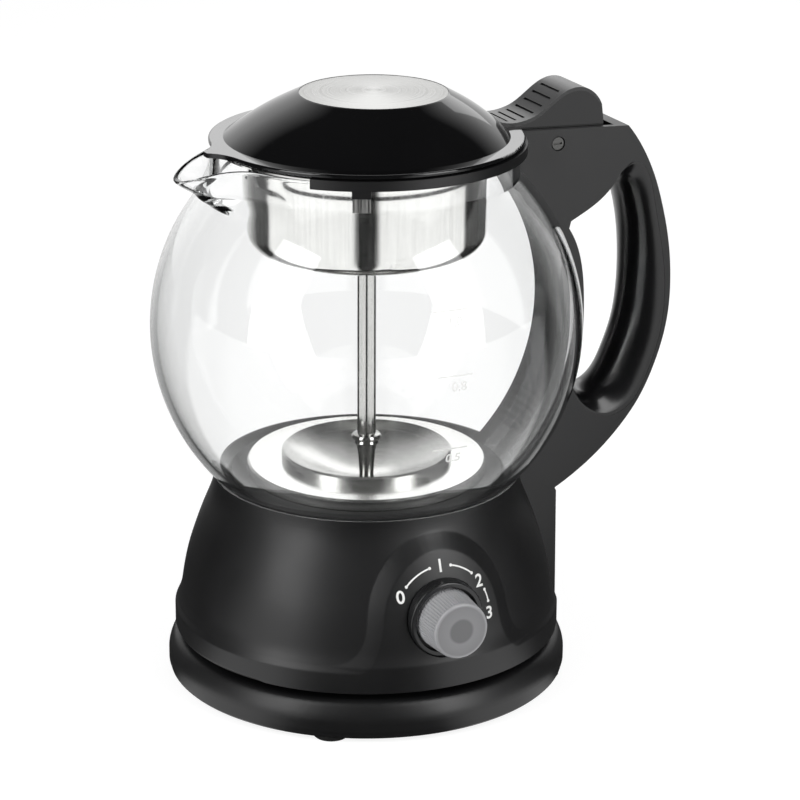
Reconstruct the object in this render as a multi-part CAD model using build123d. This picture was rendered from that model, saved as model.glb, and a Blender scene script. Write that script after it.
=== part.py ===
from build123d import *
from math import cos, pi, radians, sin, sqrt
import os

# Automatic tea maker: a round glass jug on a heated housing, standing on a
# cordless power base, with a flip lid, a tea basket and a spray tube.
# Millimetres. Z is up and the table is z = 0. Everything is drawn about the
# jug's vertical axis; the knob faces -Y, the handle points to +X and the spout
# to -X. The files are saved with the middle of the whole object over the origin.

# ---------------------------------------------------------------- sizes
fit_gap = 0.3            # between pieces of different moving groups
running = 0.05           # radial clearance of a turning fit
wall = 2.4               # moulded plastic wall

# power base
foot_height = 1.8
foot_radius = 6.5
foot_pocket = 0.8
base_radius = 73.8
foot_circle = base_radius - 7.5
base_screw_circle = base_radius - 13.8
base_plate_thick = 2.4
base_side_top = 7.6
deck_z = 15.5
seat_inner = 49.0
seat_outer = 55.0
seat_height = 2.5
tower_radius = 12.5
tower_top = 27.0
well_radius = 18.0
cord_hole = 3.2
cord_neck = 4.6
cord_axis_z = 9.8

# glass sphere of the jug
sphere_radius = 78.3
sphere_z = 132.9
glass_thick = 2.4

# housing under the jug
housing_bottom_z = deck_z + seat_height + fit_gap
band_radius = base_radius - 2.5
band_top = housing_bottom_z + 4.1
rim_z = 77.6
rim_radius = sqrt(sphere_radius ** 2 - (sphere_z - rim_z) ** 2) + 0.8
panel_proud = 1.9
panel_bevel = 4.5
screw_circle = band_radius - 7.3
bottom_thick = 2.4

# knob
knob_z = 43.7
knob_back_radius = 11.2
knob_front_radius = 10.2
knob_back_y = -67.6
knob_front_y = -81.2
bezel_radius = 14.0
bezel_bore = 12.2
bezel_front_y = -70.0
shaft_radius = 3.0
knurl_count = 60

# opening and neck of the jug
glass_opening = 46.5
neck_radius = 54.5
neck_top = 199.6

# heater
plate_radius = 44.1
plate_z = 81.6
plate_thick = 1.2
plate_side = 5.0
flange_radius = 49.2
seal_bore = 44.6
clamp_radius = 50.2
clamp_top = 68.6
stud_circle = 40.4
well_top_radius = 26.5
well_low_radius = 21.5
well_z = 72.4
dish_radius = 31.3
dish_z = 85.1
dish_thick = 0.8

# spray tube and basket
tube_radius = 3.45
tube_bore = 2.5
tube_tip = 2.5
bead_z = 88.8
basket_radius = 42.8
basket_z = 161.8
tube_top = basket_z + 16.2
basket_thick = 0.8
basket_corner = 7.0
basket_flange = 54.0

# handle
handle_half = 13.0
column_x = 72.2
slot_half = 10.65
pin_radius = 1.5
slot_sweep = 24.2

# lid
lid_bottom = neck_top + 1.7
flange_thick = 1.7
lid_radius = 56.3
beak_reach = 61.5
dome_radius = 51.0
disc_radius = 26.5
disc_z = lid_bottom + 17.3
disc_shift = 2.6
lever_half = 10.25
cap_thick = 1.4
tongue_z = lid_bottom + 0.8
slot_start = 53.0

# hinge and collar
pin_x = 69.9
pin_z = lid_bottom - 5.7
collar_radius = 57.1
collar_low = lid_bottom - 3.8
collar_end = 134.0
clip_angle = 116.0
clip_top = collar_low - 2.7


# ---------------------------------------------------------------- helpers
def tube(outer, inner, low, high):
    """A hollow cylinder about the vertical axis."""
    solid = Pos(0, 0, low) * extrude(Circle(outer), high - low)
    if inner > 0:
        solid -= Pos(0, 0, low - 1) * extrude(Circle(inner), high - low + 2)
    return solid


def rod(radius, low, high, x=0.0, y=0.0):
    """A solid cylinder standing at x, y."""
    return Pos(x, y, low) * extrude(Circle(radius), high - low)


def block(x0, x1, y0, y1, z0, z1):
    """A box given by its limits."""
    size = Box(x1 - x0, y1 - y0, z1 - z0)
    return Pos((x0 + x1) / 2, (y0 + y1) / 2, (z0 + z1) / 2) * size


def rod_along_x(radius, x0, x1, z):
    """A solid cylinder lying along X between x0 and x1."""
    return Pos(x0, 0, z) * Rot(0, 90, 0) * extrude(Circle(radius), x1 - x0)


def rod_along_y(radius, y0, y1, x, z):
    """A solid cylinder lying along Y between y0 and y1."""
    low = min(y0, y1)
    return Pos(x, low, z) * Rot(-90, 0, 0) * extrude(Circle(radius), abs(y1 - y0))


def turned(edges):
    """The solid swept by a closed outline in the XZ plane about Z."""
    return revolve(make_face(edges), Axis.Z)


def turned_polygon(points):
    """The solid swept by a polygon of (radius, height) points about Z."""
    corners = [(r, 0, z) for r, z in points]
    return turned(Polyline(*corners, close=True))


def side_points(points):
    """Points of the XZ plane from (x, z) pairs."""
    return [(x, 0, z) for x, z in points]


def across(face, half):
    """A face in the XZ plane thickened to both sides of it."""
    return extrude(face, half, both=True)


def ball(radius):
    """A ball about the centre of the glass sphere."""
    return Pos(0, 0, sphere_z) * Sphere(radius)


def spread(solid, count, start=0.0):
    """Copies of a solid evenly about the vertical axis."""
    return [Rot(0, 0, start + 360 / count * i) * solid for i in range(count)]


def group(solids):
    """Separate like pieces kept together in one file."""
    return Compound([s.solid() for s in solids])


def countersunk(head, shank, length):
    """A screw with its head at z = 0 pointing up, head below."""
    body = rod(shank, 0, length)
    body += rod(head, 0, 1.6)
    slot = block(-head * 0.7, head * 0.7, -0.4, 0.4, -1, 0.7)
    return body - slot - Rot(0, 0, 90) * slot


def save(name, shape):
    shape.label = name
    export_step(shape, "parts/" + name + ".step")


# ---------------------------------------------------------------- power base
base_low = foot_height + base_plate_thick + 0.2
foot_angles = [-125, -35, 55, 145]
base_screw_angles = [-80, 10, 100, 190]


def base_cover():
    outer = [Line((base_radius, 0, base_low), (base_radius, 0, base_side_top))]
    deck_radius = base_radius - 4.8
    shoulder = [(base_radius, 0, base_side_top), (base_radius - 1.2, 0, deck_z - 3.1),
                (deck_radius, 0, deck_z)]
    outer.append(Spline(shoulder, tangents=[(0, 0, 1), (-1, 0, 0.05)]))
    ring_z = deck_z + seat_height
    deck = [(deck_radius, 0, deck_z), (seat_outer + 0.8, 0, deck_z), (seat_outer, 0, ring_z)]
    deck += [(seat_inner, 0, ring_z), (seat_inner - 0.8, 0, deck_z)]
    deck += [(well_radius + fit_gap, 0, deck_z), (well_radius + fit_gap, 0, deck_z - wall)]
    inner = base_radius - wall
    deck += [(deck_radius - 1.5, 0, deck_z - wall), (inner - 1.2, 0, deck_z - 4.9)]
    deck += [(inner, 0, base_side_top), (inner, 0, base_low), (base_radius, 0, base_low)]
    cover = turned(outer + [Polyline(*deck)])
    boss = rod(3.6, base_low, deck_z - 1, base_screw_circle)
    boss -= rod(1.55, base_low - 1, base_low + 7, base_screw_circle)
    for angle in base_screw_angles:
        cover += Rot(0, 0, angle) * boss
    return cover - cord_passage(0)


def cord_passage(gap):
    """The round way through the back of the base for the gland."""
    return rod_along_y(cord_neck + gap, base_radius - 13.8, base_radius + 6, 0, cord_axis_z)


def base_plate():
    top = foot_height + base_plate_thick
    plate = rod(base_radius - 0.5, foot_height, top)
    plate = chamfer(plate.edges().group_by(Axis.Z)[0], 0.8)
    plate += tube(base_radius - wall - 0.4, base_radius - wall - 2.0, top, top + 2.2)
    plate += tube(30, 28.4, top, top + 2.5)
    plate -= cord_passage(0.3)
    foot = rod(foot_radius, foot_height - 1, foot_height + foot_pocket, foot_circle)
    screw = rod(1.6, foot_height - 1, top + 1, base_screw_circle)
    screw += rod(3.3, 0, foot_height + 1.7, base_screw_circle)
    for angle in foot_angles:
        plate -= Rot(0, 0, angle) * foot
    for angle in base_screw_angles:
        plate -= Rot(0, 0, angle) * screw
    vent = block(34, 48, -1.0, 1.0, 0, 6)
    for cut in spread(vent, 12, 25):
        plate -= cut
    return plate


def base_feet():
    foot = rod(foot_radius - 0.05, 0, foot_height + foot_pocket, foot_circle)
    foot = chamfer(foot.edges().group_by(Axis.Z)[0], 0.5)
    return group([Rot(0, 0, angle) * foot for angle in foot_angles])


def base_screws():
    screw = Pos(base_screw_circle, 0, foot_height + 0.1) * countersunk(3.0, 1.5, 8.5)
    return group([Rot(0, 0, angle) * screw for angle in base_screw_angles])


def base_connector():
    floor = foot_height + base_plate_thick
    body = rod(27.0, floor, floor + 2.0)
    body += tube(well_radius, well_radius - 1.6, floor, deck_z)
    body += rod(tower_radius, floor, tower_top)
    body = chamfer(body.edges().group_by(Axis.Z)[-1], 1.0)
    body += tube(26.9, well_radius - 0.5, deck_z - wall - 2.2, deck_z - wall)
    body += tube(26.9, 25.2, floor, deck_z - wall)
    body -= rod(2.4, tower_top - 9, tower_top + 1)
    for radius in (5.0, 8.4):
        body -= tube(radius + 1.9, radius, tower_top - 7, tower_top + 1)
    return body


def base_contacts():
    pin = tube(2.35, 1.7, tower_top - 9, tower_top - 1.5)
    rings = [pin]
    for radius in (5.0, 8.4):
        rings.append(tube(radius + 0.4, radius, tower_top - 7, tower_top - 1.2))
    return group(rings)


def cord_inlet():
    """The gland at the back of the base, where the mains cord goes in."""
    outside = base_radius + 2.8
    gland = rod_along_y(cord_neck, base_radius - 7.8, outside, 0, cord_axis_z)
    gland += rod_along_y(cord_neck + 0.6, base_radius + 0.1, outside - 1.2, 0, cord_axis_z)
    return gland - rod_along_y(cord_hole, base_radius - 9, outside + 1, 0, cord_axis_z)


def connector_ring():
    """The floating ring of the connector, which turns with the kettle."""
    low = foot_height + base_plate_thick + 2.0 + 5.0
    ring = tube(well_radius - 1.6 - fit_gap, tower_radius + running, low, deck_z + 1.6)
    edges = ring.edges().group_by(Axis.Z)[-1]
    ring = chamfer(edges, 0.5)
    for cut in spread(block(14.0, 20, -1.2, 1.2, deck_z - 0.4, deck_z + 3), 3):
        ring -= cut
    return ring


# ---------------------------------------------------------------- housing
# Side of the housing, as shares of the way in and up from the band to the rim.
housing_curve = [
    (0.061, 0.09), (0.143, 0.156), (0.211, 0.254), (0.299, 0.384), (0.381, 0.471),
    (0.483, 0.558), (0.592, 0.643), (0.714, 0.730), (0.844, 0.815), (0.959, 0.900),
    (1.0, 1.0)]
housing_screw_angles = [-50, 40, 130, 220]
handle_screw_heights = [46.0, 60.0]


def housing_side(proud=0.0):
    """Points up the side of the housing, moved outwards by proud."""
    points = []
    for inwards, upwards in housing_curve:
        radius = band_radius + (rim_radius - band_radius) * inwards
        points.append((radius + proud, band_top + (rim_z - band_top) * upwards))
    return points


def housing_radius(z):
    """Radius of the housing's side at height z."""
    side = [(band_radius, band_top)] + housing_side()
    for (r0, z0), (r1, z1) in zip(side, side[1:]):
        if z0 <= z <= z1:
            return r0 + (r1 - r0) * (z - z0) / (z1 - z0)
    return rim_radius


def handle_screw_places():
    """Where the handle's screws bear on the inside of the housing, as (x, z)."""
    return [(housing_radius(z) - wall - 0.9, z) for z in handle_screw_heights]


def housing_envelope(proud):
    """The filled outer shape of the housing, grown outwards above the band."""
    side = housing_side(proud)
    if proud > 0:
        side = side[1:]
    band = [(0, housing_bottom_z), (band_radius - 0.5, housing_bottom_z)]
    band += [(band_radius, housing_bottom_z + 0.8), (band_radius, band_top)]
    lower = Polyline(*side_points(band))
    upper = Spline(*side_points([band[-1]] + side))
    close = [side[-1], (0, rim_z), (0, housing_bottom_z)]
    return turned([lower, upper, Polyline(*side_points(close))])


def arch_face():
    """Front outline of the raised knob panel, seen along Y."""
    right = [(0, 71.4), (9.5, 69.6), (16.2, 64.9), (21.4, 57.8), (24.0, 50.0)]
    right += [(25.2, 43.0), (26.4, 37.0), (28.6, 31.4), (33.5, 27.4), (44.0, 25.4)]
    left = [(-x, z) for x, z in reversed(right[1:])]
    top = Spline(*side_points(left + right))
    low = Polyline((44.0, 0, 25.4), (44.0, 0, 15), (-44.0, 0, 15), (-44.0, 0, 25.4))
    return make_face([top, low])


def raised_panel():
    """The panel round the knob, proud of the housing, with a wide soft bevel."""
    layer = Pos(0, -45, 0) * extrude(arch_face(), 40, dir=(0, -1, 0))
    panel = housing_envelope(panel_proud) & layer
    rim = [e for e in panel.edges() if e.bounding_box().max.Y < -50 and e.length > 100]
    rim = [e for e in rim if e.bounding_box().max.Z > 60]
    return chamfer(rim, panel_proud - 0.1, panel_bevel)


def housing():
    shell = housing_envelope(0) + raised_panel()
    inside = band_radius - wall
    roof = rim_z - 8.2
    cavity = [(0, housing_bottom_z - 1), (inside, housing_bottom_z - 1), (inside, band_top + 1.6)]
    cavity += [(r - wall, z) for r, z in housing_side(-0.2) if band_top + 8 < z < roof - 1.5]
    cavity += [(rim_radius - 5.2, roof), (0, roof)]
    shell -= turned_polygon(cavity)
    shell -= ball(sphere_radius)
    shell -= rod(clamp_radius + 0.4, clamp_top - 9, rim_z + 3)
    shell -= rod_along_y(bezel_radius, -80, -50, 0, knob_z)
    for angle in housing_screw_angles:
        boss = rod(4.0, housing_bottom_z + bottom_thick, 36, screw_circle)
        shell += Rot(0, 0, angle) * (boss & housing_envelope(0))
        shell -= Rot(0, 0, angle) * rod(1.55, housing_bottom_z - 1, 32, screw_circle)
    for x, z in handle_screw_places():
        shell -= rod_along_x(1.6, x - 10, x + 12, z)
        shell -= rod_along_x(3.3, x - 10, x, z)
    return shell


def housing_bottom():
    top = housing_bottom_z + bottom_thick
    plate = tube(band_radius - wall - fit_gap, 20.3, housing_bottom_z, top)
    screw = rod(1.6, 0, 40, screw_circle) + rod(3.3, 0, housing_bottom_z + 1.7, screw_circle)
    for angle in housing_screw_angles:
        plate -= Rot(0, 0, angle) * screw
    for x in (-26.4, 24.4):
        stand = block(x, x + 2, -43.6, -37.2, top, top + 12)
        plate += stand - block(x - 1, x + 3, -41.4, -39.4, top + 2, 60)
    plate += tube(27.5, 25.6, top, top + 3)
    return plate


def housing_screws():
    screw = Pos(screw_circle, 0, housing_bottom_z + 0.1) * countersunk(3.0, 1.5, 11)
    return group([Rot(0, 0, angle) * screw for angle in housing_screw_angles])


def kettle_socket():
    """The round socket in the kettle's underside that drops over the tower."""
    top = tower_top + 9
    low = deck_z + 1.6 + fit_gap
    body = tube(20.0, tower_radius + 0.8, low, top)
    body += rod(20.0, tower_top + 2.4, top)
    body += tube(25.3, 19.5, housing_bottom_z + bottom_thick, housing_bottom_z + bottom_thick + 2)
    for x, y in ((9, 0), (-9, 0), (0, 9)):
        body += block(x - 2.5, x + 2.5, y - 1.5, y + 1.5, top, top + 5)
    return body


def socket_contacts():
    low = tower_top - 4.5
    pin = rod(1.35, low, tower_top + 2.4)
    blades = [pin]
    for radius, angle in ((5.75, 0), (9.15, 120)):
        blade = block(radius, radius + 0.4, -1.0, 1.0, low + 1.5, tower_top + 2.4)
        blades.append(Rot(0, 0, angle) * blade)
    return group(blades)


# ---------------------------------------------------------------- controls
switch_back_y = -45.4


def control_board():
    board = block(-26, 26, -41.2, -39.6, housing_bottom_z + bottom_thick + 2, 60)
    for x, z in ((-18, 34), (18, 34)):
        board += block(x - 4, x + 4, -39.6, -33.6, z - 4, z + 4)
    board += block(-8, 8, -39.6, -30.0, 46, 57)
    board += block(10, 20, -44.0, -41.2, 47, 53)
    return board


def rotary_switch():
    body = block(-9, 9, -51.0, -41.2, knob_z - 9, knob_z + 9)
    body += rod_along_y(4.6, -57.0, -51.0, 0, knob_z)
    return body - rod_along_y(shaft_radius + running, -58, switch_back_y, 0, knob_z)


def indicator_lamp():
    """The small lamp that lights the clear knob from behind."""
    lamp = rod_along_y(1.5, -62.8, -51.0, 0, knob_z + 7.5)
    return fillet(lamp.edges().group_by(Axis.Y)[0], 1.2)


def knob_bezel():
    ring = rod_along_y(bezel_radius, bezel_front_y, -61.0, 0, knob_z)
    ring = fillet(ring.edges().group_by(Axis.Y)[0], 0.7)
    ring -= rod_along_y(bezel_bore, -80, -63.4, 0, knob_z)
    ring -= rod_along_y(1.6, -80, -50, 0, knob_z + 7.5)
    return ring - rod_along_y(shaft_radius + 1.0, -80, -50, 0, knob_z)


def knob_cap():
    """The clear ribbed cap: a hollow cone frustum with a fine knurl."""
    length = knob_back_y - knob_front_y
    back = Pos(0, knob_back_y, knob_z) * Rot(90, 0, 0) * Circle(knob_back_radius)
    front = Pos(0, knob_front_y, knob_z) * Rot(90, 0, 0) * Circle(knob_front_radius)
    cap = loft([back, front])
    cap = fillet(cap.edges().group_by(Axis.Y)[0], 0.8)
    cap -= rod_along_y(8.6, knob_back_y + 1, knob_front_y + 2.2, 0, knob_z)
    tilt = (knob_back_radius - knob_front_radius) / length
    notch = Pos(knob_back_radius + 0.12, 0, 0) * Rot(0, 0, 45) * Box(0.5, 0.5, length - 1.6)
    notch = Rot(0, -tilt * 180 / pi, 0) * notch
    middle = Pos(0, (knob_back_y + knob_front_y) / 2 + 0.9, knob_z) * Rot(90, 0, 0)
    shift = (knob_back_radius - knob_front_radius) / 2
    for i in range(knurl_count):
        cap -= middle * Rot(0, 0, 360 / knurl_count * i) * Pos(-shift, 0, 0) * notch
    return cap


def knob_core():
    """The drop-shaped socket that joins the cap to the switch shaft."""
    drop = Circle(5.0) + Pos(0, -3.6) * Rot(0, 0, 45) * Rectangle(5.0, 5.0)
    core = Pos(0, knob_front_y + 2.2, knob_z) * Rot(-90, 0, 0) * extrude(drop, 9.6)
    core += rod_along_y(8.5, knob_back_y, knob_back_y - 1.8, 0, knob_z)
    return core - rod_along_y(shaft_radius, -76.0, -60, 0, knob_z)


def control_shaft():
    shaft = rod_along_y(shaft_radius, -76.0, switch_back_y - 0.3, 0, knob_z)
    return shaft


# ---------------------------------------------------------------- jug
def spout_section(x, half, depth, top):
    """A U-shaped slice across the spout, open upwards."""
    arc = Spline((x, -half, top), (x, -half * 0.72, top - depth * 0.72), (x, 0, top - depth),
                 (x, half * 0.72, top - depth * 0.72), (x, half, top),
                 tangents=[(0, 0, -1), (0, 0, 1)])
    roof = Polyline((x, half, top), (x, half, 208), (x, -half, 208), (x, -half, top))
    return make_face([arc, roof])


def spout_shape(inset):
    slices = []
    for x, half, depth, top in ((-46, 17, 21, 200), (-54, 13.4, 15.5, 199.5),
                                (-61, 8.6, 10.0, 198.6), (-68, 4.9, 6.0, 198.2),
                                (-73.5 + inset, 2.6, 3.6, 198.0)):
        slices.append(spout_section(x, half - inset, depth - inset, top))
    return loft(slices)


def glass_jug():
    neck_z = 189.0
    outer = ball(sphere_radius) - rod(90, neck_z, 260)
    outer += rod(neck_radius, 170, neck_top)
    outer += spout_shape(0)
    inner = ball(sphere_radius - glass_thick) - rod(90, neck_z - 1.0, 260)
    inner += rod(neck_radius - glass_thick, 170, 220)
    inner += spout_shape(1.5)
    jug = outer - inner
    roof = Polyline((-40, 0, neck_top), (-57, 0, neck_top), (-80, 0, 194.6), (-80, 0, 230),
                    (-40, 0, 230), close=True)
    jug -= across(make_face(roof), 60)
    jug -= rod(90, neck_top, 240)
    return jug - rod(glass_opening, 40, 90)


def seal_ring():
    """Silicone ring that wraps the edge of the glass opening on three sides."""
    ring = tube(clamp_radius, seal_bore, clamp_top, plate_z - plate_side - 1.0)
    edge = ball(sphere_radius) - ball(sphere_radius - glass_thick)
    return ring - (edge - rod(glass_opening, 40, 100))


def clamp_ring():
    ring = tube(clamp_radius, 37.8, clamp_top - 3.0, clamp_top)
    ring += tube(47.4, 37.8, clamp_top - 5.0, clamp_top - 3.0)
    for cut in spread(rod(1.5, 50, 80, stud_circle), 3, 90):
        ring -= cut
    return ring


def clamp_studs():
    """Studs from the plate's underside down through the clamp ring, with nuts."""
    stud = rod(1.45, clamp_top - 9.0, plate_z - plate_thick, stud_circle)
    nut = Pos(stud_circle, 0, clamp_top - 7.6) * extrude(RegularPolygon(2.8, 6), 2.6)
    return group(spread(stud + nut, 3, 90))


def heater_plate():
    low = plate_z - plate_side
    top_in = plate_z - plate_thick
    outline = [(well_low_radius, well_z), (well_top_radius, plate_z - 1.5)]
    outline += [(well_top_radius + 1.5, plate_z), (plate_radius - 0.7, plate_z)]
    outline += [(plate_radius, plate_z - 0.7), (plate_radius, low)]
    outline += [(flange_radius, low), (flange_radius, low - 1.0), (42.9, low - 1.0)]
    outline += [(42.9, top_in), (well_top_radius + 0.9, top_in)]
    outline += [(well_low_radius + 0.6, well_z - plate_thick), (0, well_z - plate_thick)]
    outline += [(0, well_z)]
    return turned_polygon(outline)


def heating_element():
    ring_z = plate_z - plate_thick - 3.0
    path = CenterArc((0, 0, ring_z), 34.0, 110, 320)
    element = sweep(Plane(path @ 0, z_dir=path % 0) * Circle(3.0), path)
    for end, angle in ((path @ 0, 110), (path @ 1, 430)):
        element += rod(2.0, ring_z - 12, ring_z, end.X, end.Y)
    return element


def thermostat():
    low = well_z - plate_thick - 8
    body = rod(10.0, low + 1, well_z - plate_thick)
    body += block(-14, 14, -4, 4, low + 1, low + 3)
    return body + block(-9, 9, -1.5, 1.5, low - 4, low + 1)


def steam_dish():
    """The shallow dished plate that gathers the steam under the spray tube."""
    top = [(dish_radius - 0.8, dish_z), (24.5, 81.4), (16.7, 77.9), (9.0, 75.4)]
    top.append((tube_tip + 0.1, 74.4))
    low = [(r, z - dish_thick) for r, z in reversed(top)]
    edge = [(dish_radius - 0.8, dish_z), (dish_radius, dish_z - 0.7), (dish_radius, plate_z)]
    edge += [(dish_radius - 0.8, plate_z), (dish_radius - 0.8 - 0.1, dish_z - dish_thick)]
    edge += [low[-1]]
    outline = [Spline(*side_points(top)), Polyline(*side_points([top[-1], low[0]]))]
    outline += [Spline(*side_points(low)), Polyline(*side_points(edge[::-1]))]
    dish = turned(outline)
    vent = rod(1.7, 60, 100, -11.5, -12.2)
    notch = block(28, 34, -2.5, 2.5, plate_z - 1, plate_z + 1.0)
    for cut in spread(notch, 3, 75):
        dish -= cut
    return dish - vent


def spray_tube():
    """Steam tube with a double bead and a cone that ends in the dish."""
    outline = [(tube_tip, 73.0), (tube_radius - 0.15, 84.4), (tube_radius + 0.1, 84.8)]
    outline += [(tube_radius + 0.1, bead_z - 2.2), (4.4, bead_z - 1.9), (4.7, bead_z - 1.2)]
    outline += [(4.3, bead_z - 0.4), (5.2, bead_z + 0.1), (5.6, bead_z + 0.9)]
    outline += [(5.0, bead_z + 1.7), (tube_radius, bead_z + 2.1), (tube_radius, tube_top)]
    outline += [(tube_bore, tube_top), (tube_bore, 84.0), (tube_tip - 0.7, 73.0)]
    return turned_polygon(outline)


def tube_nut():
    """Threaded ring that holds the tube in the basket's floor."""
    nut = Pos(0, 0, basket_z + basket_thick) * extrude(RegularPolygon(7.0, 6), 4.0)
    return nut - rod(tube_radius, 150, 190)


def spray_cap():
    cap = turned_polygon([(tube_radius, tube_top - 8), (9.0, tube_top - 8),
                          (10.5, tube_top - 2), (8.0, tube_top + 4), (0, tube_top + 5),
                          (0, tube_top + 3), (6.5, tube_top + 2.2), (8.6, tube_top - 2),
                          (7.6, tube_top - 6.4), (tube_radius, tube_top - 6.4)])
    for cut in spread(rod_along_y(0.9, 6, 12, 0, tube_top + 0.6), 8):
        cap -= cut
    return cap


def basket():
    corner = basket_corner
    inner = corner - basket_thick
    r = basket_radius
    centre = basket_z + corner
    outer = [Polyline((tube_radius, 0, basket_z), (r - corner, 0, basket_z))]
    bend = corner * (1 - sqrt(0.5))
    outer.append(ThreePointArc((r - corner, 0, basket_z), (r - bend, 0, basket_z + bend),
                               (r, 0, centre)))
    top = neck_top
    ledge = [(r, centre), (r, top), (basket_flange, top), (basket_flange, top + 0.6)]
    ledge += [(r - basket_thick, top + 0.6), (r - basket_thick, centre)]
    outer.append(Polyline(*side_points(ledge)))
    curve = inner * (1 - sqrt(0.5))
    wall_r = r - basket_thick
    outer.append(ThreePointArc((wall_r, 0, centre),
                               (wall_r - curve, 0, basket_z + basket_thick + curve),
                               (r - corner, 0, basket_z + basket_thick)))
    outer.append(Polyline((r - corner, 0, basket_z + basket_thick),
                          (tube_radius, 0, basket_z + basket_thick),
                          (tube_radius, 0, basket_z)))
    cup = turned(outer)
    for angle in (-171.5, 171.5):
        hole = Rot(0, 0, angle) * Pos(basket_radius - 2.8, 0, neck_top - 7.6) * Rot(0, 90, 0)
        cup -= hole * extrude(Circle(2.2), 6)
    for radius, count in ((14, 8), (21, 12), (28, 16)):
        for hole in spread(rod(1.1, basket_z - 1, basket_z + 2, radius), count):
            cup -= hole
    return cup


# ---------------------------------------------------------------- handle
def point_between(a, b, share):
    """The point a share of the way from a to b."""
    return (a[0] + (b[0] - a[0]) * share, a[1] + (b[1] - a[1]) * share)


# Side view of the grip loop, as (x, z) points.
handle_back = [
    (98.7, 199.6), (103.7, 192.8), (108.1, 184.7), (111.3, 176.8), (113.7, 168.9),
    (116.1, 159.0), (117.9, 147.2), (118.4, 138.2), (118.2, 129.7), (116.4, 118.1),
    (112.5, 106.0), (106.5, 93.8), (98.2, 83.1), (89.9, 75.1), (81.6, 68.8),
    (71.6, 62.8)]
parting_top = (59.4, 83.9)

# Edge of the finger opening at the side faces, from its lower corner round
# the grip to the top, and the same edge at the middle of the grip.
opening_side = [
    (77.9, 102.2), (80.6, 96.4), (86.4, 90.7), (93.8, 88.1), (102.0, 91.2),
    (110.2, 104.2), (114.6, 117.5), (116.2, 131.1), (115.6, 144.0), (113.4, 156.7),
    (110.8, 169.5), (108.0, 180.2), (105.4, 184.2), (102.0, 185.7), (98.6, 184.4),
    (95.4, 181.0)]
opening_middle = [
    (79.6, 102.0), (82.0, 99.2), (85.0, 98.2), (88.8, 98.7), (93.0, 101.4),
    (98.6, 110.8), (102.2, 120.8), (104.0, 131.3), (104.6, 144.0), (104.0, 156.7),
    (102.2, 166.8), (100.0, 173.6), (98.4, 176.8), (97.0, 178.4), (95.8, 179.0),
    (94.4, 179.0)]
opening_block = [(93.4, 178.1), (86.4, 171.7), (80.0, 168.0), (75.9, 165.9)]
opening_spine = [(75.2, 163.2), (78.9, 155.8), (81.4, 144.5), (82.1, 131.6), (81.4, 116.0),
                 (77.9, 102.2)]


def opening_face():
    """Outline of the finger opening at the side faces."""
    start = opening_side[-1]
    edges = [Spline(*side_points(opening_side))]
    edges.append(Spline(*side_points([start] + opening_block)))
    edges.append(Polyline(*side_points([opening_block[-1], opening_spine[0]])))
    edges.append(Spline(*side_points(opening_spine)))
    return make_face(edges)


def handle_body():
    top_line = [(54.0, 201.7), (98.7, 199.6)]
    front = [parting_top, (50.0, 90.0), (50.0, 201.7), (54.0, 201.7)]
    edges = [Polyline(*side_points(top_line)), Spline(*side_points(handle_back))]
    edges.append(Polyline(*side_points([handle_back[-1]] + front)))
    body = across(make_face(edges), handle_half)
    body -= across(opening_face(), handle_half + 1)
    body -= ball(sphere_radius)
    body -= rod(neck_radius + 0.5, 150, 220)
    body -= lever_slot()
    for side in (-1, 1):
        face = side * handle_half
        body -= rod_along_y(2.7, face, face - side * 1.3, pin_x, pin_z)
        body -= rod_along_y(pin_radius, face, 0, pin_x, pin_z)
    return body


def lever_slot():
    """The slot in the handle's top where the thumb lever swings."""
    sweep_face = Pos(pin_x, 0, pin_z) * Rot(90, 0, 0) * Circle(slot_sweep)
    swing = extrude(sweep_face, slot_half, both=True)
    swing = swing & block(pin_x, 120, -20, 20, 150, 230)
    front = block(40, pin_x + 1, -slot_half, slot_half, 188.6, 230)
    return swing + front


def insert_section(y, share):
    """The finger opening at one distance from the middle of the handle."""
    edge = [point_between(a, b, share) for a, b in zip(opening_side, opening_middle)]
    back = [edge[-1], (90.0, 182.0), (70.0, 172.0), (68.0, 132.0), (70.0, 98.0), edge[0]]
    wire = [Spline(*[(x, y, z) for x, z in edge])]
    wire.append(Polyline(*[(x, y, z) for x, z in back]))
    return make_face(wire)


def grip_insert():
    """The glossy lining round the inside of the grip, bulging to the fingers."""
    half = handle_half - 0.1
    stations = [-1.0, -0.93, -0.8, -0.55, -0.25, 0.0, 0.25, 0.55, 0.8, 0.93, 1.0]
    faces = []
    for s in stations:
        share = max(0.05, sqrt(1 - s * s))
        faces.append(insert_section(s * handle_half, share))
    gap = loft(faces)
    keep = Polyline((95.9, 0, 182.8), (93.9, 0, 178.8), (92, 0, 140), (79.0, 0, 100.8),
                    (77.6, 0, 102.6), (70, 0, 80), (130, 0, 80), (130, 0, 200), close=True)
    lining = across(opening_face(), half) & across(make_face(keep), half)
    return lining - gap


def handle_column():
    """The upright that joins the grip to the housing."""
    outline = [(50, housing_bottom_z), (column_x + 0.5, housing_bottom_z)]
    outline += [(column_x, 61.6), handle_back[-1], parting_top, (50, 83.9)]
    column = across(make_face(Polyline(*side_points(outline), close=True)), handle_half)
    column -= housing_envelope(0)
    for x, z in handle_screw_places():
        column -= rod_along_x(1.55, x, x + 7.4, z)
    return column - ball(sphere_radius)


def handle_screws():
    """Screws from inside the housing into the upright."""
    screws = []
    for x, z in handle_screw_places():
        screw = rod_along_x(1.5, x, x + 7.2, z) + rod_along_x(3.0, x - 1.6, x, z)
        cross = block(x - 2.6, x - 0.9, -0.4, 0.4, z - 2, z + 2)
        cross += block(x - 2.6, x - 0.9, -2, 2, z - 0.4, z + 0.4)
        screws.append(screw - cross)
    return group(screws)


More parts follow.
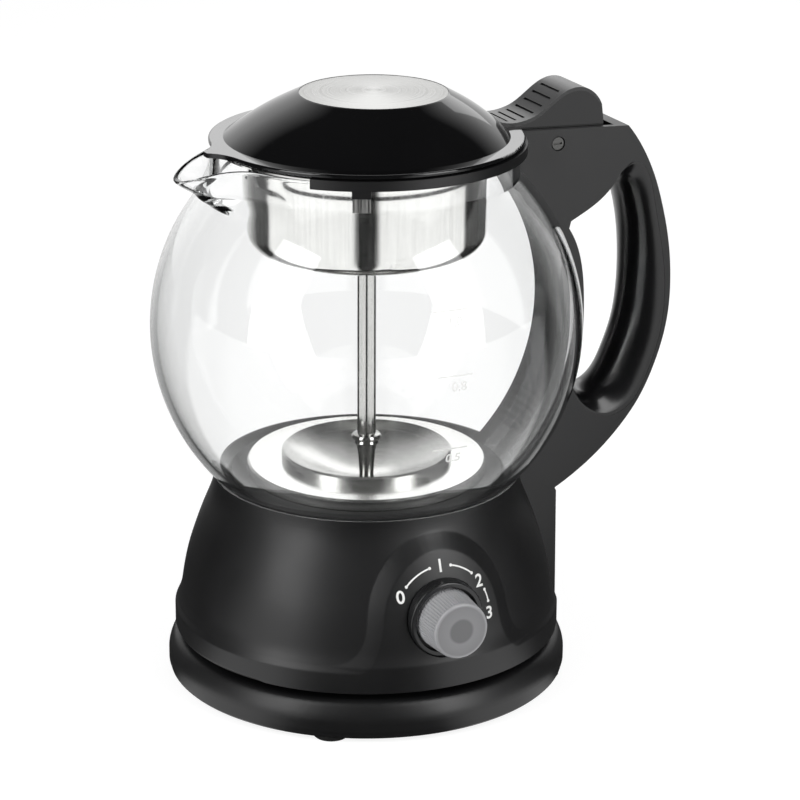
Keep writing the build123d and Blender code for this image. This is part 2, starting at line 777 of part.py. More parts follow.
def hinge_screws():
    """Shoulder screws that the lid's lever turns on."""
    screws = []
    for side in (-1, 1):
        head = rod_along_y(2.3, side * 11.7, side * 12.7, pin_x, pin_z)
        head += rod_along_y(pin_radius, side * 11.7, side * 3.5, pin_x, pin_z)
        slot = block(pin_x - 1.6, pin_x + 1.6, side * 12.4 - 0.4, side * 12.4 + 0.4,
                     pin_z - 0.35, pin_z + 0.35)
        screws.append(head - slot)
    return group(screws)


def collar_arm(side):
    """One arm of the band that grips the jug's neck."""
    arm = tube(collar_radius, neck_radius, collar_low, lid_bottom - fit_gap)
    tab = block(neck_radius + 0.1, 56.6, -3.3, 3.3, clip_top, collar_low + 1)
    arm += Rot(0, 0, side * clip_angle) * tab
    corners = [(0, 0)]
    for i in range(13):
        angle = radians(collar_end * i / 12)
        corners.append((90 * cos(angle), side * 90 * sin(angle)))
    sector = make_face(Polyline(*corners, close=True))
    arm = arm & Pos(0, 0, 150) * extrude(sector, 80)
    return arm - block(0, 100, -handle_half, handle_half, 100, 300)


def collar_clips():
    """Small steel clips that hang from the tabs of the collar."""
    clip = block(neck_radius + 0.4, 56.1, -3.1, 3.1, clip_top - 5.0, clip_top)
    return group([Rot(0, 0, angle) * clip for angle in (-clip_angle, clip_angle)])


# ---------------------------------------------------------------- lid
# Side of the dome, as shares of the way in and up from its foot to the disc.
dome_curve = [
    (0.0, 0.0), (0.03, 0.07), (0.10, 0.14), (0.20, 0.245), (0.295, 0.35), (0.41, 0.475),
    (0.59, 0.65), (0.80, 0.83), (1.0, 1.0)]


def dome_envelope(shrink):
    """The filled dome, thinner all round by shrink, leaning with the disc."""
    foot = lid_bottom + flange_thick
    rise = disc_z - 0.1 - foot
    rings = []
    for inwards, upwards in dome_curve:
        radius = dome_radius + (disc_radius + 0.1 - dome_radius) * inwards
        height = foot + rise * upwards - shrink * 0.9 * min(1, upwards * 10)
        rings.append(Pos(disc_shift * inwards, 0, height) * Circle(radius - shrink * 0.8))
    return loft(rings)


def lid_dome():
    foot = lid_bottom + flange_thick
    dome = dome_envelope(0) - dome_envelope(2.2)
    dome -= lever_envelope(0)
    for boss in spread(rod(3.0, lid_bottom + 1.2, disc_z, 30), 3, 60):
        dome += boss & (dome_envelope(1.0) + rod(40, lid_bottom, foot + 1))
    dome -= rod(disc_radius, disc_z - 1.3, disc_z + 9, disc_shift)
    for hole in spread(rod(1.25, lid_bottom - 9, foot + 6, 30), 3, 60):
        dome -= hole
    return dome


def lid_disc():
    edge = disc_radius - 0.1
    curve = Spline((0, 0, disc_z + 0.5), (edge / 2, 0, disc_z + 0.35), (edge, 0, disc_z - 0.2))
    low = disc_z - 1.25
    sides = Polyline((edge, 0, disc_z - 0.2), (edge, 0, low), (0, 0, low), (0, 0, disc_z + 0.5))
    return Pos(disc_shift, 0, 0) * turned([curve, sides])


def beak_face(grow):
    """Plan outline of the lid's pointed beak over the spout."""
    tip = beak_reach + grow
    points = [(-50.0, 21.5), (-53.6, 14.5), (-56.4, 7.2), (-tip, 1.6), (-tip, -1.6),
              (-56.4, -7.2), (-53.6, -14.5), (-50.0, -21.5)]
    edge = Spline(*[(x, y, 0) for x, y in points[:4]])
    other = Spline(*[(x, y, 0) for x, y in points[4:]])
    tipline = Line((-tip, 1.6, 0), (-tip, -1.6, 0))
    back = Line((-50.0, -21.5, 0), (-50.0, 21.5, 0))
    return make_face([edge, tipline, other, back])


def lid_flange():
    """The flat rim of the lid with its skirt, floor and beak."""
    top = lid_bottom + flange_thick
    rim = rod(lid_radius, lid_bottom, top)
    rim = fillet(rim.edges(), 0.6)
    rim += Pos(0, 0, lid_bottom) * extrude(beak_face(0), flange_thick)
    rim -= rod(dome_radius - 3.2, lid_bottom + 1.2, top + 1)
    rim += tube(38.0, 36.6, lid_bottom - 10.8, lid_bottom + 0.4)
    rim -= block(slot_start, 70, -handle_half - 0.4, handle_half + 0.4, 190, top + 9)
    rim -= block(40, 60, -lever_half, lever_half, tongue_z, top + 9)
    for cut in spread(rod(1.6, 190, top + 9, 30), 3, 60):
        rim -= cut
    for cut in spread(rod(1.2, 190, top + 9, 12), 6, 0):
        rim -= cut
    return rim


def lid_seal():
    """Soft ring between the lid's rim and the top of the basket."""
    low = neck_top + 0.6 + fit_gap
    return tube(52.6, 46.0, low, lid_bottom)


def lid_screws():
    screw = Pos(30, 0, lid_bottom - 1.6) * countersunk(2.6, 1.2, 7.5)
    return group(spread(screw, 3, 60))


# Side view of the thumb lever's ribbed top, from the dome to the rear, as x and
# height above the lid's underside.
lever_top = [
    (43.8, 5.7), (47.9, 3.8), (52.3, 3.0), (57.3, 3.4), (62.3, 5.0), (66.3, 7.5),
    (71.1, 11.0), (75.1, 13.1), (79.1, 13.8), (83.2, 12.8), (86.8, 10.0), (88.9, 6.5)]
lever_rear = [
    (89.6, 0.7), (89.6, -1.1), (84.0, -3.3), (76.6, -4.7), (75.6, -8.3), (71.9, -10.9),
    (67.9, -10.9), (64.6, -8.9), (63.4, -2.9), (57.6, -0.1), (slot_start, -0.1)]
groove_places = [
    (52.2, 3.0, 2), (55.5, 3.1, -5), (58.8, 3.8, -14), (62.4, 5.1, -24), (65.9, 7.2, -33),
    (69.3, 9.6, -36), (72.7, 12.0, -31)]


def lever_face(drop):
    """Side outline of the lever under its top line, lowered by drop."""
    line = [(x, lid_bottom + rise - drop) for x, rise in lever_top]
    rear = [line[-1]] + [(x, lid_bottom + rise) for x, rise in lever_rear]
    rear += [(slot_start, tongue_z), (line[0][0], tongue_z), line[0]]
    return make_face([Spline(*side_points(line)), Polyline(*side_points(rear))])


def lever_envelope(extra):
    return across(lever_face(0), lever_half + extra)


def thumb_lever():
    """The lever behind the lid, which turns on the handle's screws."""
    lever = across(lever_face(cap_thick), lever_half)
    return lever - rod_along_y(pin_radius + running, -20, 20, pin_x, pin_z)


def lever_cap():
    """Wavy cap on the lever, with short ribs pressed across its dip."""
    cap = across(lever_face(0), lever_half) - across(lever_face(cap_thick), lever_half + 1)
    cap = cap & block(40, 95, -20, 20, lid_bottom - 1.3, lid_bottom + 29)
    for x, rise, tilt in groove_places:
        cap -= Pos(x, 0, lid_bottom + rise) * Rot(0, tilt, 0) * Box(0.9, 14, 1.3)
    return cap


# ---------------------------------------------------------------- output
def main():
    os.makedirs("parts", exist_ok=True)
    pieces = {
        "base_cover": base_cover(),
        "base_plate": base_plate(),
        "base_feet": base_feet(),
        "base_screws": base_screws(),
        "base_connector": base_connector(),
        "base_contacts": base_contacts(),
        "cord_inlet": cord_inlet(),
        "connector_ring": connector_ring(),
        "housing": housing(),
        "housing_bottom": housing_bottom(),
        "housing_screws": housing_screws(),
        "kettle_socket": kettle_socket(),
        "socket_contacts": socket_contacts(),
        "control_board": control_board(),
        "rotary_switch": rotary_switch(),
        "indicator_lamp": indicator_lamp(),
        "knob_bezel": knob_bezel(),
        "knob_cap": knob_cap(),
        "knob_core": knob_core(),
        "control_shaft": control_shaft(),
        "glass_jug": glass_jug(),
        "seal_ring": seal_ring(),
        "clamp_ring": clamp_ring(),
        "clamp_studs": clamp_studs(),
        "heater_plate": heater_plate(),
        "heating_element": heating_element(),
        "thermostat": thermostat(),
        "steam_dish": steam_dish(),
        "spray_tube": spray_tube(),
        "tube_nut": tube_nut(),
        "spray_cap": spray_cap(),
        "basket": basket(),
        "handle_body": handle_body(),
        "grip_insert": grip_insert(),
        "handle_column": handle_column(),
        "handle_screws": handle_screws(),
        "hinge_screws": hinge_screws(),
        "collar_left": collar_arm(1),
        "collar_right": collar_arm(-1),
        "collar_clips": collar_clips(),
        "lid_dome": lid_dome(),
        "lid_disc": lid_disc(),
        "lid_flange": lid_flange(),
        "lid_seal": lid_seal(),
        "lid_screws": lid_screws(),
        "thumb_lever": thumb_lever(),
        "lever_cap": lever_cap(),
    }
    boxes = [shape.bounding_box() for shape in pieces.values()]
    middle_x = (min(b.min.X for b in boxes) + max(b.max.X for b in boxes)) / 2
    middle_y = (min(b.min.Y for b in boxes) + max(b.max.Y for b in boxes)) / 2
    for name, shape in pieces.items():
        save(name, shape.moved(Location((-middle_x, -middle_y, 0))))


main()
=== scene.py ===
from math import acos, atan2, cos, exp, pi, radians, sin, sqrt

import bmesh
import bpy
from bpy.props import FloatProperty, FloatVectorProperty, PointerProperty
from mathutils import Matrix, Vector
from mathutils.bvhtree import BVHTree
from mathutils.geometry import interpolate_bezier


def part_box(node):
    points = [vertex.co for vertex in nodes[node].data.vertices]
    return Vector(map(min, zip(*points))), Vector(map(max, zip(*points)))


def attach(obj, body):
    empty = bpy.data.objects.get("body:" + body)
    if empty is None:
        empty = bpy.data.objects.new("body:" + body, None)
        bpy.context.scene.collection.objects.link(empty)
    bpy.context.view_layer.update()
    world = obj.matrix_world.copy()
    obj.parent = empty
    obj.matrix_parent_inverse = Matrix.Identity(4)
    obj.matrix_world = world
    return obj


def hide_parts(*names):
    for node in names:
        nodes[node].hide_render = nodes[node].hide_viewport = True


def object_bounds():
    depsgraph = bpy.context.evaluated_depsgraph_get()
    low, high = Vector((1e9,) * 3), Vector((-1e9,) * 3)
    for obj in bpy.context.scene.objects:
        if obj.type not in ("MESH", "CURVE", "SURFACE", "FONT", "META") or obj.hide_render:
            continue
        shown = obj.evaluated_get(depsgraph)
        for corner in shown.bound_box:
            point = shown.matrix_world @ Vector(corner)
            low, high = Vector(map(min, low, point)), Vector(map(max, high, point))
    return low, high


bl_info = {
    "name": "Tea maker finish",
    "version": (1, 0, 0),
    "blender": (4, 5, 0),
    "location": "View3D > Sidebar > Tea maker",
    "description": "Gives a glass tea maker its materials, markings and studio",
    "category": "Object",
}

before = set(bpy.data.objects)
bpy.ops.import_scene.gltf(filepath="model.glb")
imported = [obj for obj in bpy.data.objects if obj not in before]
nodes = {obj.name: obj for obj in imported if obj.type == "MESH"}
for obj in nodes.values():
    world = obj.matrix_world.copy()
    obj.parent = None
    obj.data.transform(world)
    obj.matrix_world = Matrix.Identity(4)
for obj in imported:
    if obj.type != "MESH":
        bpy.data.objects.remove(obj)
cad_low, cad_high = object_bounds()
mm = 0.001


def middle_of(node):
    """The point that a round piece is turned about."""
    low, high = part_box(node)
    return (low + high) / 2


def radius_of(node):
    """The radius of a piece that is round about an upright axis."""
    low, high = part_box(node)
    return (high.y - low.y) / 2


jug_axis = middle_of("heater_plate")
jug_axis.z = 0.0
jug_low, jug_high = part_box("glass_jug")


# ---------------------------------------------------------------- colours and sizes
def linear(colour):
    """A colour written as #rrggbb, as the linear values that Blender works in."""
    parts = [int(colour[i:i + 2], 16) / 255 for i in (1, 3, 5)]
    return tuple(c / 12.92 if c <= 0.04045 else ((c + 0.055) / 1.055) ** 2.4 for c in parts)


def colour_property(name, description, default):
    return FloatVectorProperty(name=name, description=description, default=linear(default),
                               subtype="COLOR", size=3, min=0.0, max=1.0)


def length_property(name, description, default, lowest, highest):
    """A length that is given in millimetres."""
    return FloatProperty(name=name, description=description, default=default * mm,
                         min=lowest * mm, max=highest * mm, unit="LENGTH")


def angle_property(name, description, default, lowest=-180, highest=180):
    """An angle that is given in degrees."""
    return FloatProperty(name=name, description=description, default=radians(default),
                         min=radians(lowest), max=radians(highest), subtype="ANGLE")


class TeaMakerColours(bpy.types.PropertyGroup):
    black_abs: colour_property("Black ABS", "Moulded plastic of the housing, base and handle",
                               "#101011")
    gloss_abs: colour_property("Gloss ABS", "Polished plastic of the lid and the grip",
                               "#0b0b0c")
    steel: colour_property("Stainless steel", "Basket, heater plate and steam dish", "#d6d6d4")
    rubber: colour_property("Silicone", "Seals and feet", "#101010")
    knob_tint: colour_property("Knob", "Smoked clear plastic of the knob", "#d2d2d5")
    print_white: colour_property("Print", "Ink of the dial and the level marks", "#f2f2f0")
    glass_tint: colour_property("Glass", "Tint that thick glass shows at its edges", "#c9cfcd")


class TeaMakerJug(bpy.types.PropertyGroup):
    wall: length_property("Wall", "Thickness of the glass", 2.4, 1, 5)
    opening: length_property("Opening", "Radius of the opening over the heater", 46.5, 20, 70)
    plate: length_property("Plate", "Radius of the heater's raised plate", 44.1, 20, 60)
    neck: length_property("Neck", "Outer radius of the neck", 54.5, 30, 70)
    lip_reach: length_property("Lip reach", "How far the lip stands out of the neck", 18.6, 0, 30)
    lip_droop: length_property("Lip droop", "How far the lip's tip hangs below the rim",
                               5.6, 0, 15)
    lip_height: length_property("Lip height", "Height over which the lip grows", 15.8, 5, 30)
    lip_turn: angle_property("Lip width", "Angle over which the lip fades out", 13, 3, 30)


class TeaMakerHousing(bpy.types.PropertyGroup):
    wall: length_property("Wall", "Thickness of the housing's side", 2.4, 1, 5)
    belt: length_property("Belt height", "Height of the raised belt, with its bevel", 9.7, 2, 20)
    belt_proud: length_property("Belt proud", "How far the belt stands out", 1.0, 0, 4)
    belt_bevel: length_property("Belt bevel", "Height of the belt's bevel", 2.0, 0.5, 8)
    panel_extra: length_property("Panel proud", "How much further the panel stands out at its top",
                                 1.7, 0, 4)
    panel_bevel: length_property("Panel bevel", "Width of the panel's bevel", 5.5, 1, 12)


class TeaMakerLid(bpy.types.PropertyGroup):
    bulge: FloatProperty(name="Bulge", description="How far the dome's side bulges, as a share "
                         "of its rise", default=0.09, min=0.0, max=0.4)
    wall: length_property("Wall", "Thickness of the dome", 2.0, 1, 4)


class TeaMakerMarks(bpy.types.PropertyGroup):
    dial_radius: length_property("Dial radius", "Knob axis to the dial's numbers", 18.2, 15, 25)
    dial_height: length_property("Dial number", "Height of the dial's numbers", 4.5, 1, 8)
    line_width: length_property("Line width", "Width of the printed lines", 0.55, 0.2, 2)
    level_width: length_property("Level line", "Length of a line on the jug", 13, 4, 30)
    level_height: length_property("Level number", "Height of the jug's numbers", 3.4, 1, 8)
    level_turn: angle_property("Level turn", "Where the level marks stand, turned from the front",
                               -1.5)
    ink_height: length_property("Ink height", "How far the print stands proud", 0.06, 0.01, 0.5)


class TeaMakerStudio(bpy.types.PropertyGroup):
    camera_turn: angle_property("Camera turn", "Camera's place round the jug", -24.2)
    camera_distance: length_property("Camera distance", "Camera to jug axis", 1053.85, 300, 10000)
    camera_height: length_property("Camera height", "Camera above the table", 468.65, 0, 5000)
    camera_pitch: angle_property("Camera pitch", "How far it looks down", 19.11, 0, 90)
    camera_yaw: angle_property("Camera yaw", "How far it looks past the axis", 0.664)
    camera_roll: angle_property("Camera roll", "Its turn about its own view", 0.30)
    camera_lens: FloatProperty(name="Lens", description="Focal length on a 36 mm sensor, in mm",
                               default=137.4, min=10, max=500)
    lamp_level: FloatProperty(name="Lamp level", description="Scales every lamp",
                              default=1.0, min=0.0, max=10)


# ---------------------------------------------------------------- materials
def add(tree, kind, values=(), **settings):
    """Adds one node. Each value is set on its socket, or linked where it is an output."""
    node = tree.nodes.new("ShaderNode" + kind)
    for name, value in settings.items():
        setattr(node, name, value)
    for name, value in dict(values).items():
        if isinstance(value, bpy.types.NodeSocket):
            tree.links.new(value, node.inputs[name])
        else:
            socket = node.inputs[name]
            as_colour = socket.type == "RGBA" and len(value) == 3
            socket.default_value = (*value, 1.0) if as_colour else value
    return node


def start_material(name):
    """An empty node material: its tree and its output."""
    material = bpy.data.materials.new(name)
    material.use_nodes = True
    tree = material.node_tree
    tree.nodes.clear()
    return material, tree, tree.nodes.new("ShaderNodeOutputMaterial")


def finish_material(material, tree, output, values):
    """Ends a material in one surface, whose sockets take the values."""
    shader = add(tree, "BsdfPrincipled", values)
    tree.links.new(shader.outputs[0], output.inputs["Surface"])
    return material


def ramp(tree, factor, low, high, at=(0.0, 1.0)):
    """A two-stop colour ramp, for a grey level or a colour."""
    node = add(tree, "ValToRGB", {"Fac": factor})
    for stop, place, value in zip(node.color_ramp.elements, at, (low, high)):
        stop.position = place
        stop.color = (value, value, value, 1) if isinstance(value, float) else (*value, 1)
    return node.outputs["Color"]


def object_place(tree):
    return add(tree, "TexCoord").outputs["Object"]


def noise(tree, place, size, detail=2.0, roughness=0.5):
    """An even noise whose features are about as large as size."""
    return add(tree, "TexNoise", {"Vector": place, "Scale": 1 / size, "Detail": detail,
                                  "Roughness": roughness}).outputs["Fac"]


def bump(tree, height, strength, depth=0.05 * mm):
    """The normals of a skin that is uneven by a fine relief."""
    return add(tree, "Bump", {"Height": height, "Strength": strength,
                              "Distance": depth}).outputs["Normal"]


def moulded_plastic(name, colour, dullness, grain, grain_size, spread=0.05):
    """Injection-moulded plastic: a fine even grain from the tool and a slightly uneven gloss."""
    material, tree, output = start_material(name)
    place = object_place(tree)
    patches = noise(tree, place, 35 * mm, 3.0)
    light = tuple(min(1, c * 1.18 + 0.0006) for c in colour)
    return finish_material(material, tree, output, {
        "Base Color": ramp(tree, patches, tuple(colour), light, (0.3, 0.75)),
        "Roughness": ramp(tree, patches, dullness - spread, dullness + spread, (0.3, 0.7)),
        "IOR": 1.53,
        "Normal": bump(tree, noise(tree, place, grain_size), grain)})


def rubber(name, colour):
    """Silicone rubber: dull, with a soft bloom at grazing angles and fine dust-like mottling."""
    material, tree, output = start_material(name)
    mottle = noise(tree, object_place(tree), 1.2 * mm, 4.0)
    pale = tuple(c * 1.5 + 0.001 for c in colour)
    return finish_material(material, tree, output, {
        "Base Color": ramp(tree, mottle, tuple(colour), pale, (0.35, 0.7)),
        "Roughness": 0.62, "IOR": 1.43, "Sheen Weight": 0.12, "Sheen Roughness": 0.4,
        "Normal": bump(tree, mottle, 0.25)})


def turned_steel(name, colour, centre, roughness, stretch, pitch=0.35 * mm):
    """Steel finished on a lathe: fine rings about its centre, which pull the gloss across them."""
    material, tree, output = start_material(name)
    place = add(tree, "Mapping", {"Vector": object_place(tree),
                                  "Location": tuple(-c for c in centre)})
    flat = add(tree, "VectorMath", {0: place.outputs[0], 1: (1.0, 1.0, 0.0)},
               operation="MULTIPLY")
    radius = add(tree, "VectorMath", {0: flat.outputs[0]}, operation="LENGTH")
    height = add(tree, "SeparateXYZ", {"Vector": place.outputs[0]})
    across = add(tree, "CombineXYZ", {"X": radius.outputs["Value"], "Y": height.outputs["Z"]})
    rings = noise(tree, across.outputs[0], pitch, 3.0, 0.7)
    lay = add(tree, "Tangent", direction_type="RADIAL", axis="Z")
    return finish_material(material, tree, output, {
        "Base Color": ramp(tree, rings, tuple(c * 0.86 for c in colour), tuple(colour),
                           (0.3, 0.6)),
        "Metallic": 1.0,
        "Roughness": ramp(tree, rings, roughness * 0.75, roughness * 1.25, (0.3, 0.7)),
        "Anisotropic": stretch, "Tangent": lay.outputs[0],
        "Normal": bump(tree, rings, 0.12, 0.02 * mm)})


def polished_steel(name, colour, roughness):
    """Deep-drawn steel, buffed: nearly a mirror, with faint upright draw lines."""
    material, tree, output = start_material(name)
    place = add(tree, "Mapping", {"Vector": object_place(tree), "Scale": (1.0, 1.0, 0.02)})
    lines = noise(tree, place.outputs[0], 0.9 * mm)
    return finish_material(material, tree, output, {
        "Base Color": ramp(tree, lines, tuple(c * 0.93 for c in colour), tuple(colour),
                           (0.3, 0.6)),
        "Metallic": 1.0,
        "Roughness": ramp(tree, lines, roughness * 0.6, roughness * 1.5, (0.3, 0.7))})


def cast_metal(name, colour, roughness, grit):
    """Cast or pressed metal with a fine pebbled skin."""
    material, tree, output = start_material(name)
    skin = noise(tree, object_place(tree), grit, 4.0)
    return finish_material(material, tree, output, {
        "Base Color": ramp(tree, skin, tuple(c * 0.8 for c in colour), tuple(colour),
                           (0.3, 0.7)),
        "Metallic": 1.0, "Roughness": roughness,
        "Normal": bump(tree, skin, 0.3, 0.1 * mm)})


def clear_body(name, colour, ior, roughness, tint_depth=0.0, tint=(1, 1, 1), clear=1.0):
    """A clear solid. What it soaks up along the light's way shows at its thick edges."""
    material, tree, output = start_material(name)
    waves = noise(tree, object_place(tree), 28 * mm, 1.0)
    shader = add(tree, "BsdfPrincipled", {"Base Color": colour, "Roughness": roughness,
                                          "IOR": ior, "Transmission Weight": clear,
                                          "Normal": bump(tree, waves, 0.04, 1.0 * mm)})
    shadow = add(tree, "BsdfTransparent", {"Color": colour})
    rays = add(tree, "LightPath")
    both = add(tree, "MixShader", {0: rays.outputs["Is Shadow Ray"], 1: shader.outputs[0],
                                   2: shadow.outputs[0]})
    tree.links.new(both.outputs[0], output.inputs["Surface"])
    if tint_depth:
        depth = add(tree, "VolumeAbsorption", {"Color": tint, "Density": tint_depth})
        tree.links.new(depth.outputs[0], output.inputs["Volume"])
    return material


def knob_plastic(name, colour, centre, rim):
    """Frosted polycarbonate whose colour carries painted light: pale at its ribbed rim, partly from
    the frosting and partly a painted highlight, and darker towards the middle as painted shade.
    """
    material, tree, output = start_material(name)
    place = add(tree, "Mapping", {"Vector": object_place(tree),
                                  "Location": tuple(-c for c in centre)})
    face = add(tree, "VectorMath", {0: place.outputs[0], 1: (1.0, 0.0, 1.0)},
               operation="MULTIPLY")
    radius = add(tree, "VectorMath", {0: face.outputs[0]}, operation="LENGTH").outputs["Value"]
    share = add(tree, "Math", {0: radius, 1: rim}, operation="DIVIDE").outputs[0]
    # painted shade in the middle and a painted highlight on the rim, as a colour ramp by distance
    # from the knob's axis
    body = ramp(tree, share, tuple(c * 0.3 for c in colour), tuple(colour), (0.36, 0.97))
    stops = body.node.color_ramp.elements
    for at, level in ((0.44, 0.5), (0.8, 0.44), (0.88, 0.8)):
        stops.new(at).color = (*(c * level for c in colour), 1)
    return finish_material(material, tree, output, {
        "Base Color": body, "Roughness": 0.24, "IOR": 1.585, "Transmission Weight": 0.35,
        "Normal": bump(tree, noise(tree, place.outputs[0], 1.5 * mm), 0.1)})


def print_ink(name, colour):
    """Printed ink: an even white film, slightly thin in places."""
    material, tree, output = start_material(name)
    film = noise(tree, object_place(tree), 0.3 * mm)
    return finish_material(material, tree, output, {
        "Base Color": ramp(tree, film, tuple(c * 0.93 for c in colour), tuple(colour),
                           (0.35, 0.6)),
        "Roughness": 0.45, "IOR": 1.5})


def give(material, *names):
    """Puts one material on whole CAD nodes."""
    for name in names:
        node = nodes[name]
        node.data.materials.clear()
        node.data.materials.append(material)


def new_piece(name, mesh, body, material):
    """Adds a finished piece, with its place in its mesh, to a body of the frame."""
    piece = bpy.data.objects.new(name, mesh)
    bpy.context.scene.collection.objects.link(piece)
    mesh.materials.clear()
    mesh.materials.append(material)
    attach(piece, body)
    return piece


# ---------------------------------------------------------------- pieces
class TEAMAKER_OT_plastics(bpy.types.Operator):
    """Finishes the moulded black plastic pieces"""
    bl_idname = "teamaker.plastics"
    bl_label = "Black plastics"

    def execute(self, context):
        colours = context.scene.tea_maker_colours
        # ABS from a spark-eroded tool: black with a satin, slightly grained skin
        satin = moulded_plastic("Satin ABS", colours.black_abs, dullness=0.42, grain=0.3,
                                grain_size=0.45 * mm)
        give(satin, "housing", "base_cover", "handle_body", "handle_column", "collar_left",
             "collar_right", "base_plate", "housing_bottom", "cord_inlet")
        # ABS from a polished tool: deep black that mirrors lamps with sharp edges
        gloss = moulded_plastic("Polished ABS", colours.gloss_abs, dullness=0.06, grain=0.05,
                                grain_size=1.5 * mm, spread=0.02)
        give(gloss, "lid_flange", "thumb_lever")
        # the same ABS, buffed less on the grip: one soft sheen down its hollow
        buffed = moulded_plastic("Buffed ABS", colours.gloss_abs, dullness=0.2, grain=0.05,
                                 grain_size=1.5 * mm, spread=0.03)
        give(buffed, "grip_insert")
        # glass-filled nylon for the electrical parts: dull and a little greyer
        nylon = moulded_plastic("Filled nylon", linear("#232325"), dullness=0.5, grain=0.5,
                                grain_size=0.6 * mm)
        give(nylon, "base_connector", "connector_ring", "kettle_socket", "rotary_switch",
             "control_shaft")
        # ABS with a fine satin skin that catches more light on the lever's cap
        cap = moulded_plastic("Lever ABS", linear("#1d1d1e"), dullness=0.3, grain=0.3,
                              grain_size=0.4 * mm)
        give(cap, "lever_cap")
        return {"FINISHED"}


class TEAMAKER_OT_rubbers(bpy.types.Operator):
    """Finishes the seals and feet"""
    bl_idname = "teamaker.rubbers"
    bl_label = "Seals and feet"

    def execute(self, context):
        # silicone rubber, compression moulded: dull black
        give(rubber("Silicone rubber", context.scene.tea_maker_colours.rubber),
             "base_feet", "seal_ring", "lid_seal")
        return {"FINISHED"}


class TEAMAKER_OT_steelwork(bpy.types.Operator):
    """Finishes the stainless steel pieces"""
    bl_idname = "teamaker.steelwork"
    bl_label = "Steelwork"

    def execute(self, context):
        steel = context.scene.tea_maker_colours.steel
        # 304 sheet, deep drawn and buffed: mirrors the room with soft edges
        give(polished_steel("Buffed 304 steel", steel, roughness=0.1), "basket")
        give(polished_steel("Drawn steel tube", linear("#b7b7b5"), roughness=0.12),
             "spray_tube", "tube_nut", "spray_cap")
        # 304 strip, brushed: an even light grey
        give(polished_steel("Brushed 304 strip", linear("#c9c9c7"), roughness=0.42),
             "collar_clips")
        # 304 plate, turned on a lathe: rings that stretch the gloss into fans
        give(turned_steel("Turned plate steel", steel, jug_axis, roughness=0.22, stretch=0.2),
             "heater_plate", "steam_dish", "clamp_ring")
        give(turned_steel("Spun lid steel", linear("#a9a9a7"), middle_of("lid_disc"),
                          roughness=0.3, stretch=0.6), "lid_disc")
        # plated steel screws and studs: bright, worn a little by the driver
        give(cast_metal("Plated screw steel", linear("#b9b9b6"), roughness=0.32, grit=0.6 * mm),
             "base_screws", "housing_screws", "handle_screws", "lid_screws", "clamp_studs")
        # the same screws in a darker grey, with a dull shine
        give(cast_metal("Darker screw steel", linear("#5c5c5b"), roughness=0.36,
                        grit=0.6 * mm),
             "hinge_screws")
        # die-cast aluminium: grey with a pebbled skin
        give(cast_metal("Die-cast aluminium", linear("#c2c3c4"), roughness=0.5, grit=1.4 * mm),
             "heating_element")
        # rolled brass: warm yellow
        give(cast_metal("Rolled brass", linear("#c8a560"), roughness=0.3, grit=0.8 * mm),
             "base_contacts", "socket_contacts", "thermostat")
        return {"FINISHED"}


class TEAMAKER_OT_electrics(bpy.types.Operator):
    """Finishes the board and lamp behind the knob"""
    bl_idname = "teamaker.electrics"
    bl_label = "Board and lamp"

    def execute(self, context):
        # glass-fibre board under green solder mask: satin green
        mask = moulded_plastic("Solder mask", linear("#1f5a34"), dullness=0.35, grain=0.3,
                               grain_size=0.5 * mm)
        give(mask, "control_board")
        # tinted epoxy of a signal lamp: clear red
        give(clear_body("Red lamp epoxy", linear("#b32820"), ior=1.5, roughness=0.1),
             "indicator_lamp")
        return {"FINISHED"}


class TEAMAKER_OT_knob(bpy.types.Operator):
    """Finishes the clear knob, its core and its bezel"""
    bl_idname = "teamaker.knob"
    bl_label = "Knob"

    def execute(self, context):
        tint = context.scene.tea_maker_colours.knob_tint
        # smoked polycarbonate, moulded and lightly frosted: half clear, half milky
        low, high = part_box("knob_cap")
        give(knob_plastic("Smoked polycarbonate", tint, middle_of("knob_cap"),
                          (high.z - low.z) / 2), "knob_cap")
        give(clear_body("Clear polycarbonate", linear("#c9c9cc"), ior=1.585, roughness=0.1,
                        clear=0.5), "knob_core")
        # ABS from a polished tool: a bright line round the knob
        bezel = moulded_plastic("Bezel ABS", linear("#1d1d1e"), dullness=0.22, grain=0.05,
                                grain_size=1.0 * mm, spread=0.02)
        give(bezel, "knob_bezel")
        return {"FINISHED"}


def held(value):
    """A value held between nought and one."""
    return max(0.0, min(1.0, value))


def even(start, end, steps):
    """Values from start to end in equal steps, with both ends."""
    return [start + (end - start) * i / steps for i in range(steps + 1)]


def turned_shape(profile, *sweeps, start=0):
    """A closed profile of (radius, z) in metres, turned about the jug's axis. A sweep is its
    angle in degrees and its number of steps, and start turns the first of them."""
    shape = bmesh.new()
    verts = [bmesh.ops.create_vert(shape, co=(radius, 0.0, z))["vert"][0] for radius, z in profile]
    bmesh.ops.rotate(shape, verts=verts, matrix=Matrix.Rotation(radians(start), 3, "Z"))
    part = verts + [shape.edges.new(pair) for pair in zip(verts, verts[1:] + verts[:1])]
    for angle, steps in sweeps:
        part = bmesh.ops.spin(shape, geom=part, axis=(0, 0, 1), angle=radians(angle),
                              steps=steps, use_merge=False)["geom_last"]
    bmesh.ops.remove_doubles(shape, verts=shape.verts, dist=0.005 * mm)
    bmesh.ops.recalc_face_normals(shape, faces=shape.faces)
    bmesh.ops.translate(shape, vec=tuple(jug_axis), verts=shape.verts)
    return shape


def finished_mesh(name, shape, smooth_below=radians(35)):
    """A mesh of a finished shape, smooth but for the edges sharper than smooth_below."""
    for face in shape.faces:
        face.smooth = True
    for edge in shape.edges:
        edge.smooth = len(edge.link_faces) == 2 and edge.calc_face_angle() < smooth_below
    mesh = bpy.data.meshes.new(name)
    shape.to_mesh(mesh)
    shape.free()
    return mesh


def arc_points(radius, middle, start, end, steps):
    """Points on a circle about (0, middle) in (radius, z), at angles up from the level."""
    return [(radius * cos(turn), middle + radius * sin(turn)) for turn in even(start, end, steps)]


